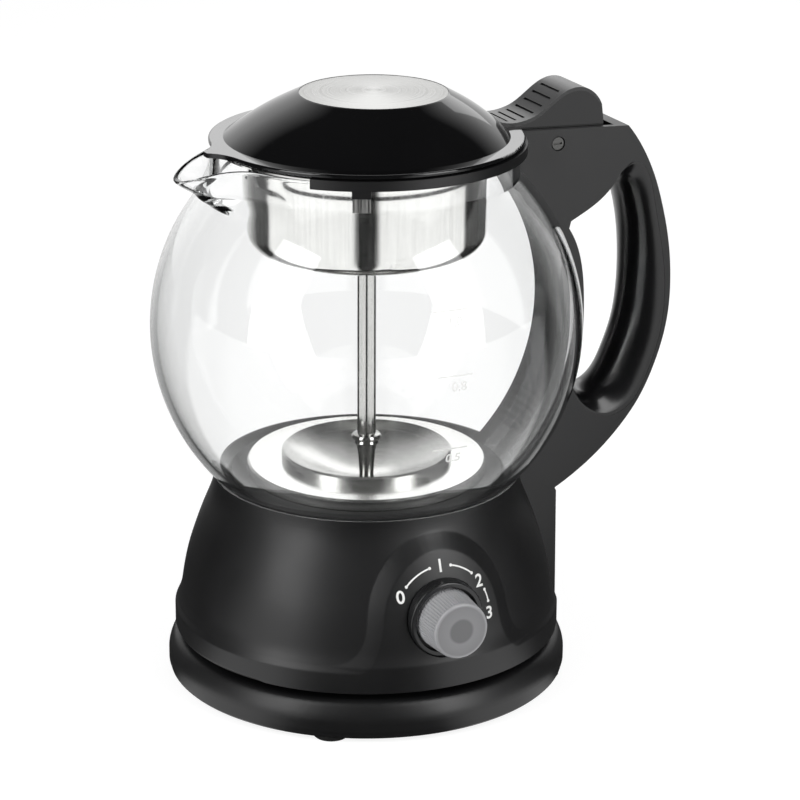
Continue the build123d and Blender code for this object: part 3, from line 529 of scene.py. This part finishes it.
def globe_middle(radius, opening):
    """Height of the middle of a globe that ends at the opening over the heater."""
    return jug_low.z + sqrt(radius ** 2 - opening ** 2)


def distance_inside(outline, x, z):
    """How far a point lies below or inside an open outline that runs from left to right."""
    nearest, inside = 1e9, True
    for (x0, z0), (x1, z1) in zip(outline, outline[1:]):
        along = held(((x - x0) * (x1 - x0) + (z - z0) * (z1 - z0))
                     / ((x1 - x0) ** 2 + (z1 - z0) ** 2))
        away = sqrt((x - x0 - (x1 - x0) * along) ** 2 + (z - z0 - (z1 - z0) * along) ** 2)
        nearest = min(nearest, away)
        if (x0 - x) * (x1 - x) <= 0 and x0 != x1:
            inside = z < z0 + (z1 - z0) * (x - x0) / (x1 - x0)
    return nearest if inside else -nearest


class TEAMAKER_OT_housing(bpy.types.Operator):
    """Moulds the housing with its raised belt and knob panel, which share one soft bevel"""
    bl_idname = "teamaker.housing"
    bl_label = "Kettle housing"

    fine_front = (104, 300), (256, 110)    # sweeps with fine steps before the knob
    fine_start = -142                      # where the first of them starts, from the right
    belt_end = radians(165)                # from the left round to the handle's upright
    belt_fade = radians(10)                # how far before it the belt sinks into the side
    foot_bevel, foot_inset = 0.8 * mm, 0.5 * mm
    panel_front = -40 * mm                 # the panel lies further forward than this
    panel_rise = 40 * mm                   # height over which it comes to stand fully out
    hole_depth = 4 * mm                    # how far the skin sinks in behind the bezel
    hole_snap = 0.3 * mm                   # points as near to the hole's edge move onto it
    skin = 0.6 * mm                        # what lies deeper than this is no outer skin
    seat_gap, seat_height = 0.1 * mm, 6.4 * mm    # of the sloping ring that the jug rests in
    ledge_drop, inner_drop = 8.2 * mm, 10 * mm    # from the rim down to the wall's inner side
    foot_gap = 0.05 * mm                   # how far the shell stays inside the box below

    def execute(self, context):
        self.sizes = context.scene.tea_maker_housing
        low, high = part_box("housing")
        self.foot, self.rim = low.z, high.z
        self.line = self.foot + self.sizes.belt
        self.side = self.read_side()
        self.knob = middle_of("knob_cap")
        low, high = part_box("knob_bezel")
        self.hole = (high.z - low.z) / 2
        shape = turned_shape(self.profile(context.scene.tea_maker_jug.opening), *self.fine_front,
                             start=self.fine_start)
        self.round_hole(shape)
        self.raise_panel(shape)
        shell = new_piece("housing_shell", finished_mesh("housing_shell", shape), "kettle",
                          bpy.data.materials["Satin ABS"])
        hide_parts("housing")
        return {"FINISHED"}

    def profile(self, opening):
        """The wall's section: its plain side, the jug's seat at its top and its inner side."""
        bottom, top = self.foot + self.foot_gap, self.rim
        outer = [(self.radius_at(z), z) for z in even(bottom, top, 140)]
        seat = radius_of("glass_jug") + self.seat_gap
        middle = globe_middle(seat, opening)
        rest = [(sqrt(seat ** 2 - (middle - z) ** 2), z)
                for z in even(top, top - self.seat_height, 10)]
        ledge = (rest[-1][0], top - self.ledge_drop)
        inner = [(self.radius_at(z) - self.sizes.wall, z)
                 for z in even(top - self.inner_drop, bottom, 8)]
        return [*outer, *rest, ledge, *inner]

    def read_side(self):
        """The housing's plain side, measured on its left, as radius at each height."""
        tree = BVHTree.FromObject(nodes["housing"], bpy.context.evaluated_depsgraph_get())
        tall = self.rim - self.foot
        side = []
        for z in even(self.foot + 0.002 * tall, self.foot + 0.996 * tall, 120):
            start = Vector((jug_axis.x - 0.2, jug_axis.y + 1.0 * mm, z))
            place = tree.ray_cast(start, Vector((1, 0, 0)))[0]
            side.append((z, jug_axis.x - place.x))
        return side

    def radius_at(self, z):
        """The plain side's radius, carried straight down behind the belt."""
        z = max(z, self.line)
        for (z0, r0), (z1, r1) in zip(self.side, self.side[1:]):
            if z <= z1:
                return r0 + (r1 - r0) * max(0.0, z - z0) / (z1 - z0)
        return self.side[-1][1]

    def from_knob(self, place):
        """The way from the knob's axis to a place, seen from the front."""
        return Vector((place.x - self.knob.x, place.z - self.knob.z))

    def round_hole(self, shape):
        """Makes the hole behind the bezel round: points near its edge move onto it, and the
        faces that it crosses are cut along it."""
        on_edge = set()
        for vert in shape.verts:
            away = self.from_knob(vert.co)
            if (vert.co.y - jug_axis.y < self.panel_front
                    and abs(away.length - self.hole) < self.hole_snap):
                edge = away.normalized() * self.hole
                vert.co.x, vert.co.z = self.knob.x + edge.x, self.knob.z + edge.y
                on_edge.add(vert)
        for face in shape.faces[:]:
            ends = [vert for vert in face.verts if vert in on_edge]
            if len(ends) == 2 and not any(set(edge.verts) == set(ends) for edge in face.edges):
                bmesh.utils.face_split(face, *ends)

    def raise_panel(self, shape):
        """Moves the outer skin out over the belt and the panel, and in behind the bezel."""
        outline = self.panel_outline()
        for vert in shape.verts:
            away = vert.co - jug_axis
            flat = sqrt(away.x ** 2 + away.y ** 2)
            if flat < self.radius_at(vert.co.z) - self.skin:
                continue
            out = self.belt_out(vert.co.z, abs(atan2(away.y, -away.x)))
            if away.y < self.panel_front:
                out = max(out, self.panel_out(vert.co, outline))
                if self.from_knob(vert.co).length < self.hole - 0.05 * mm:
                    out = -self.hole_depth
            vert.co.x += away.x / flat * out
            vert.co.y += away.y / flat * out
        shape.normal_update()

    def belt_out(self, height, from_left):
        """How far the belt moves the side out, with a small bevel at its foot."""
        out = self.sizes.belt_proud * held((self.line - height) / self.sizes.belt_bevel)
        out *= held((self.belt_end - from_left) / self.belt_fade)
        return out - self.foot_inset * max(0.0, 1 - (height - self.foot) / self.foot_bevel)

    def panel_out(self, place, outline):
        """How far the panel moves the side out: more at its top, and less over its bevel."""
        rise = held((place.z - self.line) / self.panel_rise)
        proud = self.sizes.belt_proud + self.sizes.panel_extra * rise
        return proud * held(distance_inside(outline, place.x, place.z) / self.sizes.panel_bevel)

    def panel_outline(self):
        """The panel's outline over the belt, in X and Z: round above, and its sides flow out
        into the belt. Two curves give its right half, in millimetres."""
        top, top_pull = (0.0, 44.4), (14.7, 44.4)
        side_pull, side, side_push = (24.3, 31.2), (26.5, 19.9), (28.1, 11.6)
        toe_pull, toe, belt = (27.5, 0.0), (43.0, 0.0), (120.0, 0.0)
        right = interpolate_bezier(top, top_pull, side_pull, side, 14)
        right += interpolate_bezier(side, side_push, toe_pull, toe, 14)[1:]
        right.append(belt)
        left = [(-x, z) for x, z in reversed(right[1:])]
        return [(jug_axis.x + x * mm, self.line + z * mm) for x, z in (*left, *right)]


class TEAMAKER_OT_lid(bpy.types.Operator):
    """Moulds the lid's dome, one smooth curve from its rim up to the steel disc"""
    bl_idname = "teamaker.lid"
    bl_label = "Lid dome"

    disc_gap, disc_proud = 0.25 * mm, 0.6 * mm    # round the steel disc, and over the dome
    seat_gap, seat_width = 0.05 * mm, 6 * mm      # of the ledge under the disc

    def execute(self, context):
        sizes = context.scene.tea_maker_lid
        disc_low, disc_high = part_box("lid_disc")
        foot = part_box("lid_flange")[1].z
        rim = radius_of("lid_dome")
        top_radius = radius_of("lid_disc") + self.disc_gap
        top = disc_high.z - self.disc_proud
        seat = disc_low.z - self.seat_gap
        seat_radius = top_radius - self.seat_width
        lean = middle_of("lid_disc").x - jug_axis.x

        def side(inset, share):
            up = share + sizes.bulge * sin(pi * share) * (1 - 0.25 * share)
            return (rim - inset + (top_radius - rim) * share, foot + (top - foot - inset) * up)

        profile = [side(0.0, share) for share in even(0, 1, 40)]
        profile += [(top_radius - 0.15 * mm, top + 0.02 * mm), (top_radius - 0.2 * mm, seat),
                    (seat_radius, seat), (seat_radius, seat - sizes.wall)]
        profile += [side(sizes.wall, share) for share in even(0.95, 0, 38)]
        shape = turned_shape(profile, (360, 192))
        for vert in shape.verts:
            vert.co.x += lean * held((vert.co.z - foot) / (top - foot))
        shape.normal_update()
        # ABS from a polished tool: deep black that mirrors lamps with sharp edges
        gloss = moulded_plastic("Dome ABS", context.scene.tea_maker_colours.gloss_abs,
                                dullness=0.05, grain=0.03, grain_size=1.5 * mm, spread=0.01)
        dome = new_piece("dome_shell", finished_mesh("dome_shell", shape), "lid",
                         gloss)
        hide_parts("lid_dome")
        return {"FINISHED"}


class TEAMAKER_OT_jug(bpy.types.Operator):
    """Blows the glass jug, with its pouring lip drawn out of the neck"""
    bl_idname = "teamaker.jug"
    bl_label = "Glass jug"

    def execute(self, context):
        sizes = context.scene.tea_maker_jug
        outer = radius_of("glass_jug")
        inner = outer - sizes.wall
        middle = globe_middle(outer, sizes.opening)
        neck, neck_inside = sizes.neck, sizes.neck - sizes.wall
        bead = sizes.wall / 2
        bead_z = jug_high.z - bead
        outside = arc_points(outer, middle, -acos(sizes.opening / outer), acos(neck / outer), 69)
        outside += [(neck, z) for z in even(outside[-1][1], bead_z, 14)[1:-1]]
        rim = [(neck - bead + bead * cos(turn), bead_z + bead * sin(turn))
               for turn in even(0, pi, 8)]
        inside = arc_points(inner, middle, acos(neck_inside / inner),
                            -acos(sizes.opening / inner), 69)
        neck_wall = [(neck_inside, z) for z in even(bead_z, inside[0][1], 14)[1:-1]]
        shape = turned_shape(outside + rim + neck_wall + inside, (360, 288))
        self.draw_lip(shape, sizes)
        # borosilicate, machine blown: clear, a faint wave, grey at its thick edges
        glass = clear_body("Blown borosilicate", (1.0, 1.0, 1.0), ior=1.474, roughness=0.0,
                           tint_depth=30.0, tint=context.scene.tea_maker_colours.glass_tint)
        jug = new_piece("jug_glass", finished_mesh("jug_glass", shape), "kettle", glass)
        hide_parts("glass_jug")
        return {"FINISHED"}

    def draw_lip(self, shape, sizes):
        """Draws the neck out to a drooping lip on the left."""
        start = jug_high.z - sizes.lip_height
        for vert in shape.verts:
            if vert.co.z <= start:
                continue
            along = held((vert.co.z - start) / sizes.lip_height)
            away = vert.co - jug_axis
            turn = atan2(away.y, -away.x)
            share = exp(-(turn / sizes.lip_turn) ** 2)
            out = sizes.lip_reach * share * sin(pi / 2 * along) ** 0.75
            vert.co.x -= out * cos(turn)
            vert.co.y += out * sin(turn)
            vert.co.z -= sizes.lip_droop * share ** 2 * along ** 2
        shape.normal_update()


class TEAMAKER_OT_trims(bpy.types.Operator):
    """Moulds the seal's lip, which closes the gap round the heater"""
    bl_idname = "teamaker.trims"
    bl_label = "Seal lip"

    def execute(self, context):
        flange_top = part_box("seal_ring")[1].z + 1.0 * mm
        flange = radius_of("heater_plate") + 0.1 * mm
        plate = context.scene.tea_maker_jug.plate + 0.15 * mm
        wide = flange + 1.1 * mm
        profile = [(plate, 0.06), (plate, 0.8), (plate + 0.3 * mm, 1.1), (wide - 0.8 * mm, 1.0),
                   (wide - 0.2 * mm, 0.7), (wide, 0.3), (wide, -0.9), (flange, -0.9),
                   (flange, 0.06)]
        profile = [(radius, flange_top + z * mm) for radius, z in profile]
        lip = turned_shape(profile, (360, 160))
        new_piece("seal_lip", finished_mesh("seal_lip", lip), "kettle",
                  bpy.data.materials["Silicone rubber"])
        return {"FINISHED"}


digit_share = 0.73           # a digit's height as a share of the font's size
digit_weight = 0.028         # how much fatter it is printed, as a share of its height


def flat_number(text, height):
    """A number as a flat mesh about its own middle, in X and Y."""
    curve = bpy.data.curves.new("number", "FONT")
    curve.body = text
    curve.size = height / digit_share
    curve.offset = height * digit_weight
    curve.align_x = "CENTER"
    curve.align_y = "CENTER"
    holder = bpy.data.objects.new("number", curve)
    bpy.context.scene.collection.objects.link(holder)
    bpy.context.view_layer.update()
    mesh = bpy.data.meshes.new_from_object(holder)
    shape = bmesh.new()
    shape.from_mesh(mesh)
    bpy.data.objects.remove(holder)
    bpy.data.curves.remove(curve)
    bpy.data.meshes.remove(mesh)
    bmesh.ops.remove_doubles(shape, verts=shape.verts, dist=0.01 * mm)
    corners = [vert.co for vert in shape.verts]
    middle = (Vector(map(min, zip(*corners))) + Vector(map(max, zip(*corners)))) / 2
    bmesh.ops.translate(shape, vec=-middle, verts=shape.verts)
    return shape


def flat_arc(shape, radius, start, end, width):
    """Adds a flat strip along an arc, its angles clockwise from the top."""
    inner = bmesh.ops.create_vert(shape, co=(0, radius - width / 2, 0))["vert"]
    outer = bmesh.ops.create_vert(shape, co=(0, radius + width / 2, 0))["vert"]
    edge = shape.edges.new(inner + outer)
    bmesh.ops.rotate(shape, verts=inner + outer, cent=(0, 0, 0),
                     matrix=Matrix.Rotation(-start, 3, "Z"))
    bmesh.ops.spin(shape, geom=[edge], cent=(0, 0, 0), axis=(0, 0, -1), angle=end - start,
                   steps=max(3, round((end - start) / radians(3))), use_merge=False)


def flat_dot(shape, radius, turn, size):
    """Adds a round dot at an angle clockwise from the top."""
    place = Matrix.Translation((radius * sin(turn), radius * cos(turn), 0))
    bmesh.ops.create_circle(shape, cap_ends=True, segments=20, radius=size, matrix=place)


def join_into(shape, other, matrix):
    """Moves a small flat shape to its place and adds it to a larger one."""
    bmesh.ops.transform(other, matrix=matrix, verts=other.verts)
    mesh = bpy.data.meshes.new("part")
    other.to_mesh(mesh)
    shape.from_mesh(mesh)
    bpy.data.meshes.remove(mesh)
    other.free()


def ink_mesh(name, shape, on_surface, height):
    """Lays a flat print on a surface: on_surface gives the place and the way out of it."""
    bmesh.ops.subdivide_edges(shape, edges=[e for e in shape.edges if e.calc_length() > 1.5 * mm],
                              cuts=2)
    bmesh.ops.triangulate(shape, faces=shape.faces)
    for vert in shape.verts:
        place, out = on_surface(vert.co.x, vert.co.y)
        vert.co = place + out * height
    shape.normal_update()
    if shape.faces[:][0].normal.dot(out) < 0:
        bmesh.ops.reverse_faces(shape, faces=shape.faces)
    mesh = bpy.data.meshes.new(name)
    shape.to_mesh(mesh)
    shape.free()
    return mesh


class TEAMAKER_OT_dial(bpy.types.Operator):
    """Prints the numbers and arcs round the knob"""
    bl_idname = "teamaker.dial"
    bl_label = "Dial print"

    stops = [radians(turn) for turn in (-60, 0, 55, 95)]    # clockwise from the top
    gap = radians(13)                                       # from a number to its arcs

    def execute(self, context):
        marks = context.scene.tea_maker_marks
        knob = middle_of("knob_cap")
        housing = BVHTree.FromObject(bpy.data.objects["housing_shell"],
                                     context.evaluated_depsgraph_get())

        def on_panel(x, z):
            start = Vector((knob.x + x, cad_low.y - 0.05, knob.z + z))
            return housing.ray_cast(start, Vector((0, 1, 0)))[0], Vector((0, -1, 0))

        shape = bmesh.new()
        for number, turn in enumerate(self.stops):
            place = (marks.dial_radius * sin(turn), marks.dial_radius * cos(turn), 0)
            join_into(shape, flat_number(str(number), marks.dial_height),
                      Matrix.Translation(place))
        for stop, following in zip(self.stops, self.stops[1:]):
            start, end = stop + self.gap, following - self.gap
            flat_arc(shape, marks.dial_radius, start, end, marks.line_width)
            for turn in (start, end):
                flat_dot(shape, marks.dial_radius, turn, marks.line_width)
        mesh = ink_mesh("dial_print", shape, on_panel, marks.ink_height)
        ink = print_ink("Pad-printed ink", context.scene.tea_maker_colours.print_white)
        new_piece("dial_print", mesh, "kettle", ink)
        return {"FINISHED"}


class TEAMAKER_OT_levels(bpy.types.Operator):
    """Prints the level lines and their numbers on the jug"""
    bl_idname = "teamaker.levels"
    bl_label = "Level marks"

    heights = (("1.0", 159.1 * mm), ("0.8", 137.1 * mm), ("0.5", 109.7 * mm))
    number_aside, number_below = 1.5 * mm, 3.8 * mm    # from the middle of its line

    def execute(self, context):
        marks = context.scene.tea_maker_marks
        radius = radius_of("glass_jug")
        middle = globe_middle(radius, context.scene.tea_maker_jug.opening)
        centre = Vector((jug_axis.x, jug_axis.y, middle))

        def on_jug(x, z):
            flat = sqrt(radius ** 2 - (z - middle) ** 2)
            turn = x / flat + marks.level_turn
            out = Vector((flat * sin(turn), -flat * cos(turn), z - middle))
            return centre + out, out.normalized()

        shape = bmesh.new()
        for text, z in self.heights:
            strip = bmesh.new()
            bmesh.ops.create_grid(strip, x_segments=12, y_segments=1, size=0.5)
            bmesh.ops.scale(strip, vec=(marks.level_width, marks.line_width, 1),
                            verts=strip.verts)
            join_into(shape, strip, Matrix.Translation((0, z, 0)))
            join_into(shape, flat_number(text, marks.level_height),
                      Matrix.Translation((self.number_aside, z - self.number_below, 0)))
        mesh = ink_mesh("level_marks", shape, on_jug, marks.ink_height)
        ink = print_ink("Fired glass ink", context.scene.tea_maker_colours.print_white)
        new_piece("level_marks", mesh, "kettle", ink)
        return {"FINISHED"}


# ---------------------------------------------------------------- studio
side_turn = radians(51)      # from the camera round to either softbox
lobe_turn = radians(57)      # the same to the painted pools of light on the table that steel in the jug mirrors
back_turn = radians(172)     # the same to the softbox behind the jug
lamp_target = 0.12           # height on the jug's axis that every lamp faces
glass_gain = 1.1             # makes up for what four glass faces mirror away


def round_the_jug(turn, distance, height):
    """A point at an angle round the jug, from the front towards the right."""
    return Vector((jug_axis.x + distance * sin(turn), jug_axis.y - distance * cos(turn), height))


def softbox(name, turn, distance, height, wide, tall, power):
    """A large soft lamp that faces the jug."""
    lamp = bpy.data.lights.new(name, "AREA")
    lamp.shape = "RECTANGLE"
    lamp.size = wide
    lamp.size_y = tall
    lamp.energy = power * bpy.context.scene.tea_maker_studio.lamp_level
    holder = bpy.data.objects.new(name, lamp)
    bpy.context.scene.collection.objects.link(holder)
    place = round_the_jug(turn, distance, height)
    aim = Vector((jug_axis.x, jug_axis.y, lamp_target)) - place
    turned = aim.to_track_quat("-Z", "Y").to_matrix().to_4x4()
    holder.matrix_world = Matrix.Translation(place) @ turned


class TEAMAKER_OT_stage(bpy.types.Operator):
    """Sets up the camera, lamps, floor and surroundings"""
    bl_idname = "teamaker.stage"
    bl_label = "Studio"

    def execute(self, context):
        scene = context.scene
        scene.view_settings.view_transform = "Standard"
        self.camera(scene, scene.tea_maker_studio)
        self.lamps()
        self.surroundings(scene)
        self.floor(scene)
        return {"FINISHED"}

    def camera(self, scene, studio):
        """A long lens on the front left, which looks down past the jug's axis."""
        camera = bpy.data.cameras.new("camera")
        camera.lens = studio.camera_lens
        camera.sensor_width = 36
        camera.clip_end = 50
        holder = bpy.data.objects.new("camera", camera)
        scene.collection.objects.link(holder)
        place = round_the_jug(studio.camera_turn, studio.camera_distance, studio.camera_height)
        heading = atan2(jug_axis.x - place.x, jug_axis.y - place.y) + studio.camera_yaw
        pitch = studio.camera_pitch
        ahead = Vector((sin(heading) * cos(pitch), cos(heading) * cos(pitch), -sin(pitch)))
        right = Vector((cos(heading), -sin(heading), 0))
        up = right.cross(ahead)
        turn = studio.camera_roll
        across = right * cos(turn) + up * sin(turn)
        upward = up * cos(turn) - right * sin(turn)
        axes = Matrix((across, upward, -ahead)).transposed().to_4x4()
        holder.matrix_world = Matrix.Translation(place) @ axes
        scene.camera = holder

    def lamps(self):
        """Two tall softboxes in front, as far left as right of the camera, and one behind."""
        turn = bpy.context.scene.tea_maker_studio.camera_turn
        for name, aside in (("left_softbox", -side_turn), ("right_softbox", side_turn)):
            softbox(name, turn + aside, distance=1.2, height=0.66, wide=0.58, tall=1.25, power=10.0)
        softbox("back_softbox", turn + back_turn, distance=1.3, height=0.75, wide=0.9, tall=0.5,
                power=1.4)

    def surroundings(self, scene):
        """A white backdrop behind the object, and a dark room on the camera's side of it."""
        world = bpy.data.worlds.new("studio")
        scene.world = world
        world.use_nodes = True
        tree = world.node_tree
        tree.nodes.clear()
        output = tree.nodes.new("ShaderNodeOutputWorld")
        rays = add(tree, "LightPath").outputs
        way = add(tree, "TexCoord").outputs["Generated"]
        soft = add(tree, "Background", {"Color": (1.0, 1.0, 1.0), "Strength": 0.3})
        room = self.backdrop(tree, way, dark=0.03, fade=(0.55, 0.85))
        mirrored = add(tree, "Background", {"Color": room})
        low_way = add(tree, "VectorMath", {0: way, 1: (1.0, 1.0, 0.5)}, operation="MULTIPLY")
        low_way = add(tree, "VectorMath", {0: low_way.outputs[0]}, operation="NORMALIZE").outputs[0]
        wide = self.backdrop(tree, low_way, dark=0.05, fade=(0.6, 0.95))
        through = add(tree, "Background", {"Color": wide, "Strength": glass_gain})
        white = add(tree, "Background", {"Color": (1.0, 1.0, 1.0), "Strength": 1.0})
        self.by_ray(tree, rays, soft, mirrored, through, white, output)

    def backdrop(self, tree, way, dark, fade, painted_pool=0.0, spread=(0.88, 0.97), aside=side_turn):
        """How white the set is in a direction from the object: the backdrop fades at its edges,
        and the table gets a painted pool of light before each of the two softboxes, as bright as
        painted_pool."""
        turn = bpy.context.scene.tea_maker_studio.camera_turn
        behind = add(tree, "VectorMath", {0: way, 1: (-sin(turn), cos(turn), 0.0)},
                     operation="DOT_PRODUCT")
        level = ramp(tree, behind.outputs["Value"], dark, 1.0, fade)
        for lamp in (turn - aside, turn + aside):
            if painted_pool:
                ahead = add(tree, "VectorMath", {0: way, 1: (sin(lamp), -cos(lamp), 0.0)},
                            operation="DOT_PRODUCT")
                painted_lamp_pool = ramp(tree, ahead.outputs["Value"], 0.0, painted_pool, spread)
                level = add(tree, "Math", {0: level, 1: painted_lamp_pool}, operation="MAXIMUM").outputs[0]
        return level

    def by_ray(self, tree, rays, plain, mirrored, through, seen, output):
        """Chooses what a surface shows to light, to mirrors, through glass and to the camera."""
        shown = plain
        for ray, shader in (("Is Glossy Ray", mirrored), ("Is Transmission Ray", through),
                            ("Is Camera Ray", seen)):
            shown = add(tree, "MixShader", {0: rays[ray], 1: shown.outputs[0],
                                            2: shader.outputs[0]})
        tree.links.new(shown.outputs[0], output.inputs["Surface"])

    def floor(self, scene):
        """A pale sweep that keeps the object's shadow and shows white to the camera."""
        shape = bmesh.new()
        bmesh.ops.create_circle(shape, cap_ends=True, segments=96, radius=6.0,
                                matrix=Matrix.Translation((jug_axis.x, jug_axis.y, 0)))
        mesh = bpy.data.meshes.new("floor")
        shape.to_mesh(mesh)
        shape.free()
        floor = bpy.data.objects.new("floor", mesh)
        scene.collection.objects.link(floor)
        material, tree, output = start_material("Matt white laminate")
        rays = add(tree, "LightPath").outputs
        place = add(tree, "VectorMath", {0: add(tree, "TexCoord").outputs["Object"],
                                         1: tuple(jug_axis)}, operation="SUBTRACT")
        way = add(tree, "VectorMath", {0: place.outputs[0]}, operation="NORMALIZE").outputs[0]
        matt = add(tree, "BsdfDiffuse", {"Color": linear("#e6e6e6")})
        # to mirrors and through glass the floor shows painted light: painted shade on the camera's
        # side and painted pools of light before the softboxes
        table = self.backdrop(tree, way, dark=0.05, fade=(0.8, 1.2), painted_pool=1.1)
        mirrored = add(tree, "Emission", {"Color": table})
        wide = self.backdrop(tree, way, dark=0.03, fade=(0.6, 0.95), painted_pool=1.5,
                             spread=(0.66, 0.72), aside=lobe_turn)
        through = add(tree, "Emission", {"Color": wide, "Strength": glass_gain})
        thin = add(tree, "BsdfDiffuse", {"Color": (0.3, 0.3, 0.3)})
        glow = add(tree, "Emission", {"Color": (1.0, 1.0, 1.0), "Strength": 0.85})
        seen = add(tree, "AddShader", {0: thin.outputs[0], 1: glow.outputs[0]})
        self.by_ray(tree, rays, matt, mirrored, through, seen, output)
        mesh.materials.append(material)


class TEAMAKER_PT_panel(bpy.types.Panel):
    """Lists the tea maker's pieces and their sizes"""
    bl_idname = "TEAMAKER_PT_panel"
    bl_label = "Tea maker"
    bl_space_type = "VIEW_3D"
    bl_region_type = "UI"
    bl_category = "Tea maker"

    def draw(self, context):
        for operator in steps:
            self.layout.operator(operator.bl_idname)
        for place in groups:
            group = getattr(context.scene, place)
            box = self.layout.box()
            for name in group.__annotations__:
                box.prop(group, name)


steps = (TEAMAKER_OT_stage, TEAMAKER_OT_plastics, TEAMAKER_OT_rubbers, TEAMAKER_OT_steelwork,
         TEAMAKER_OT_electrics, TEAMAKER_OT_knob, TEAMAKER_OT_housing, TEAMAKER_OT_lid,
         TEAMAKER_OT_jug, TEAMAKER_OT_trims, TEAMAKER_OT_dial, TEAMAKER_OT_levels)
groups = {"tea_maker_colours": TeaMakerColours, "tea_maker_jug": TeaMakerJug,
          "tea_maker_housing": TeaMakerHousing, "tea_maker_lid": TeaMakerLid,
          "tea_maker_marks": TeaMakerMarks, "tea_maker_studio": TeaMakerStudio}


def register():
    for part in (*groups.values(), *steps, TEAMAKER_PT_panel):
        bpy.utils.register_class(part)
    for place, group in groups.items():
        setattr(bpy.types.Scene, place, PointerProperty(type=group))


def unregister():
    for place in groups:
        delattr(bpy.types.Scene, place)
    for part in reversed((*groups.values(), *steps, TEAMAKER_PT_panel)):
        bpy.utils.unregister_class(part)


def main():
    register()
    for operator in steps:
        family, name = operator.bl_idname.split(".")
        getattr(getattr(bpy.ops, family), name)()


if __name__ == "__main__":
    main()
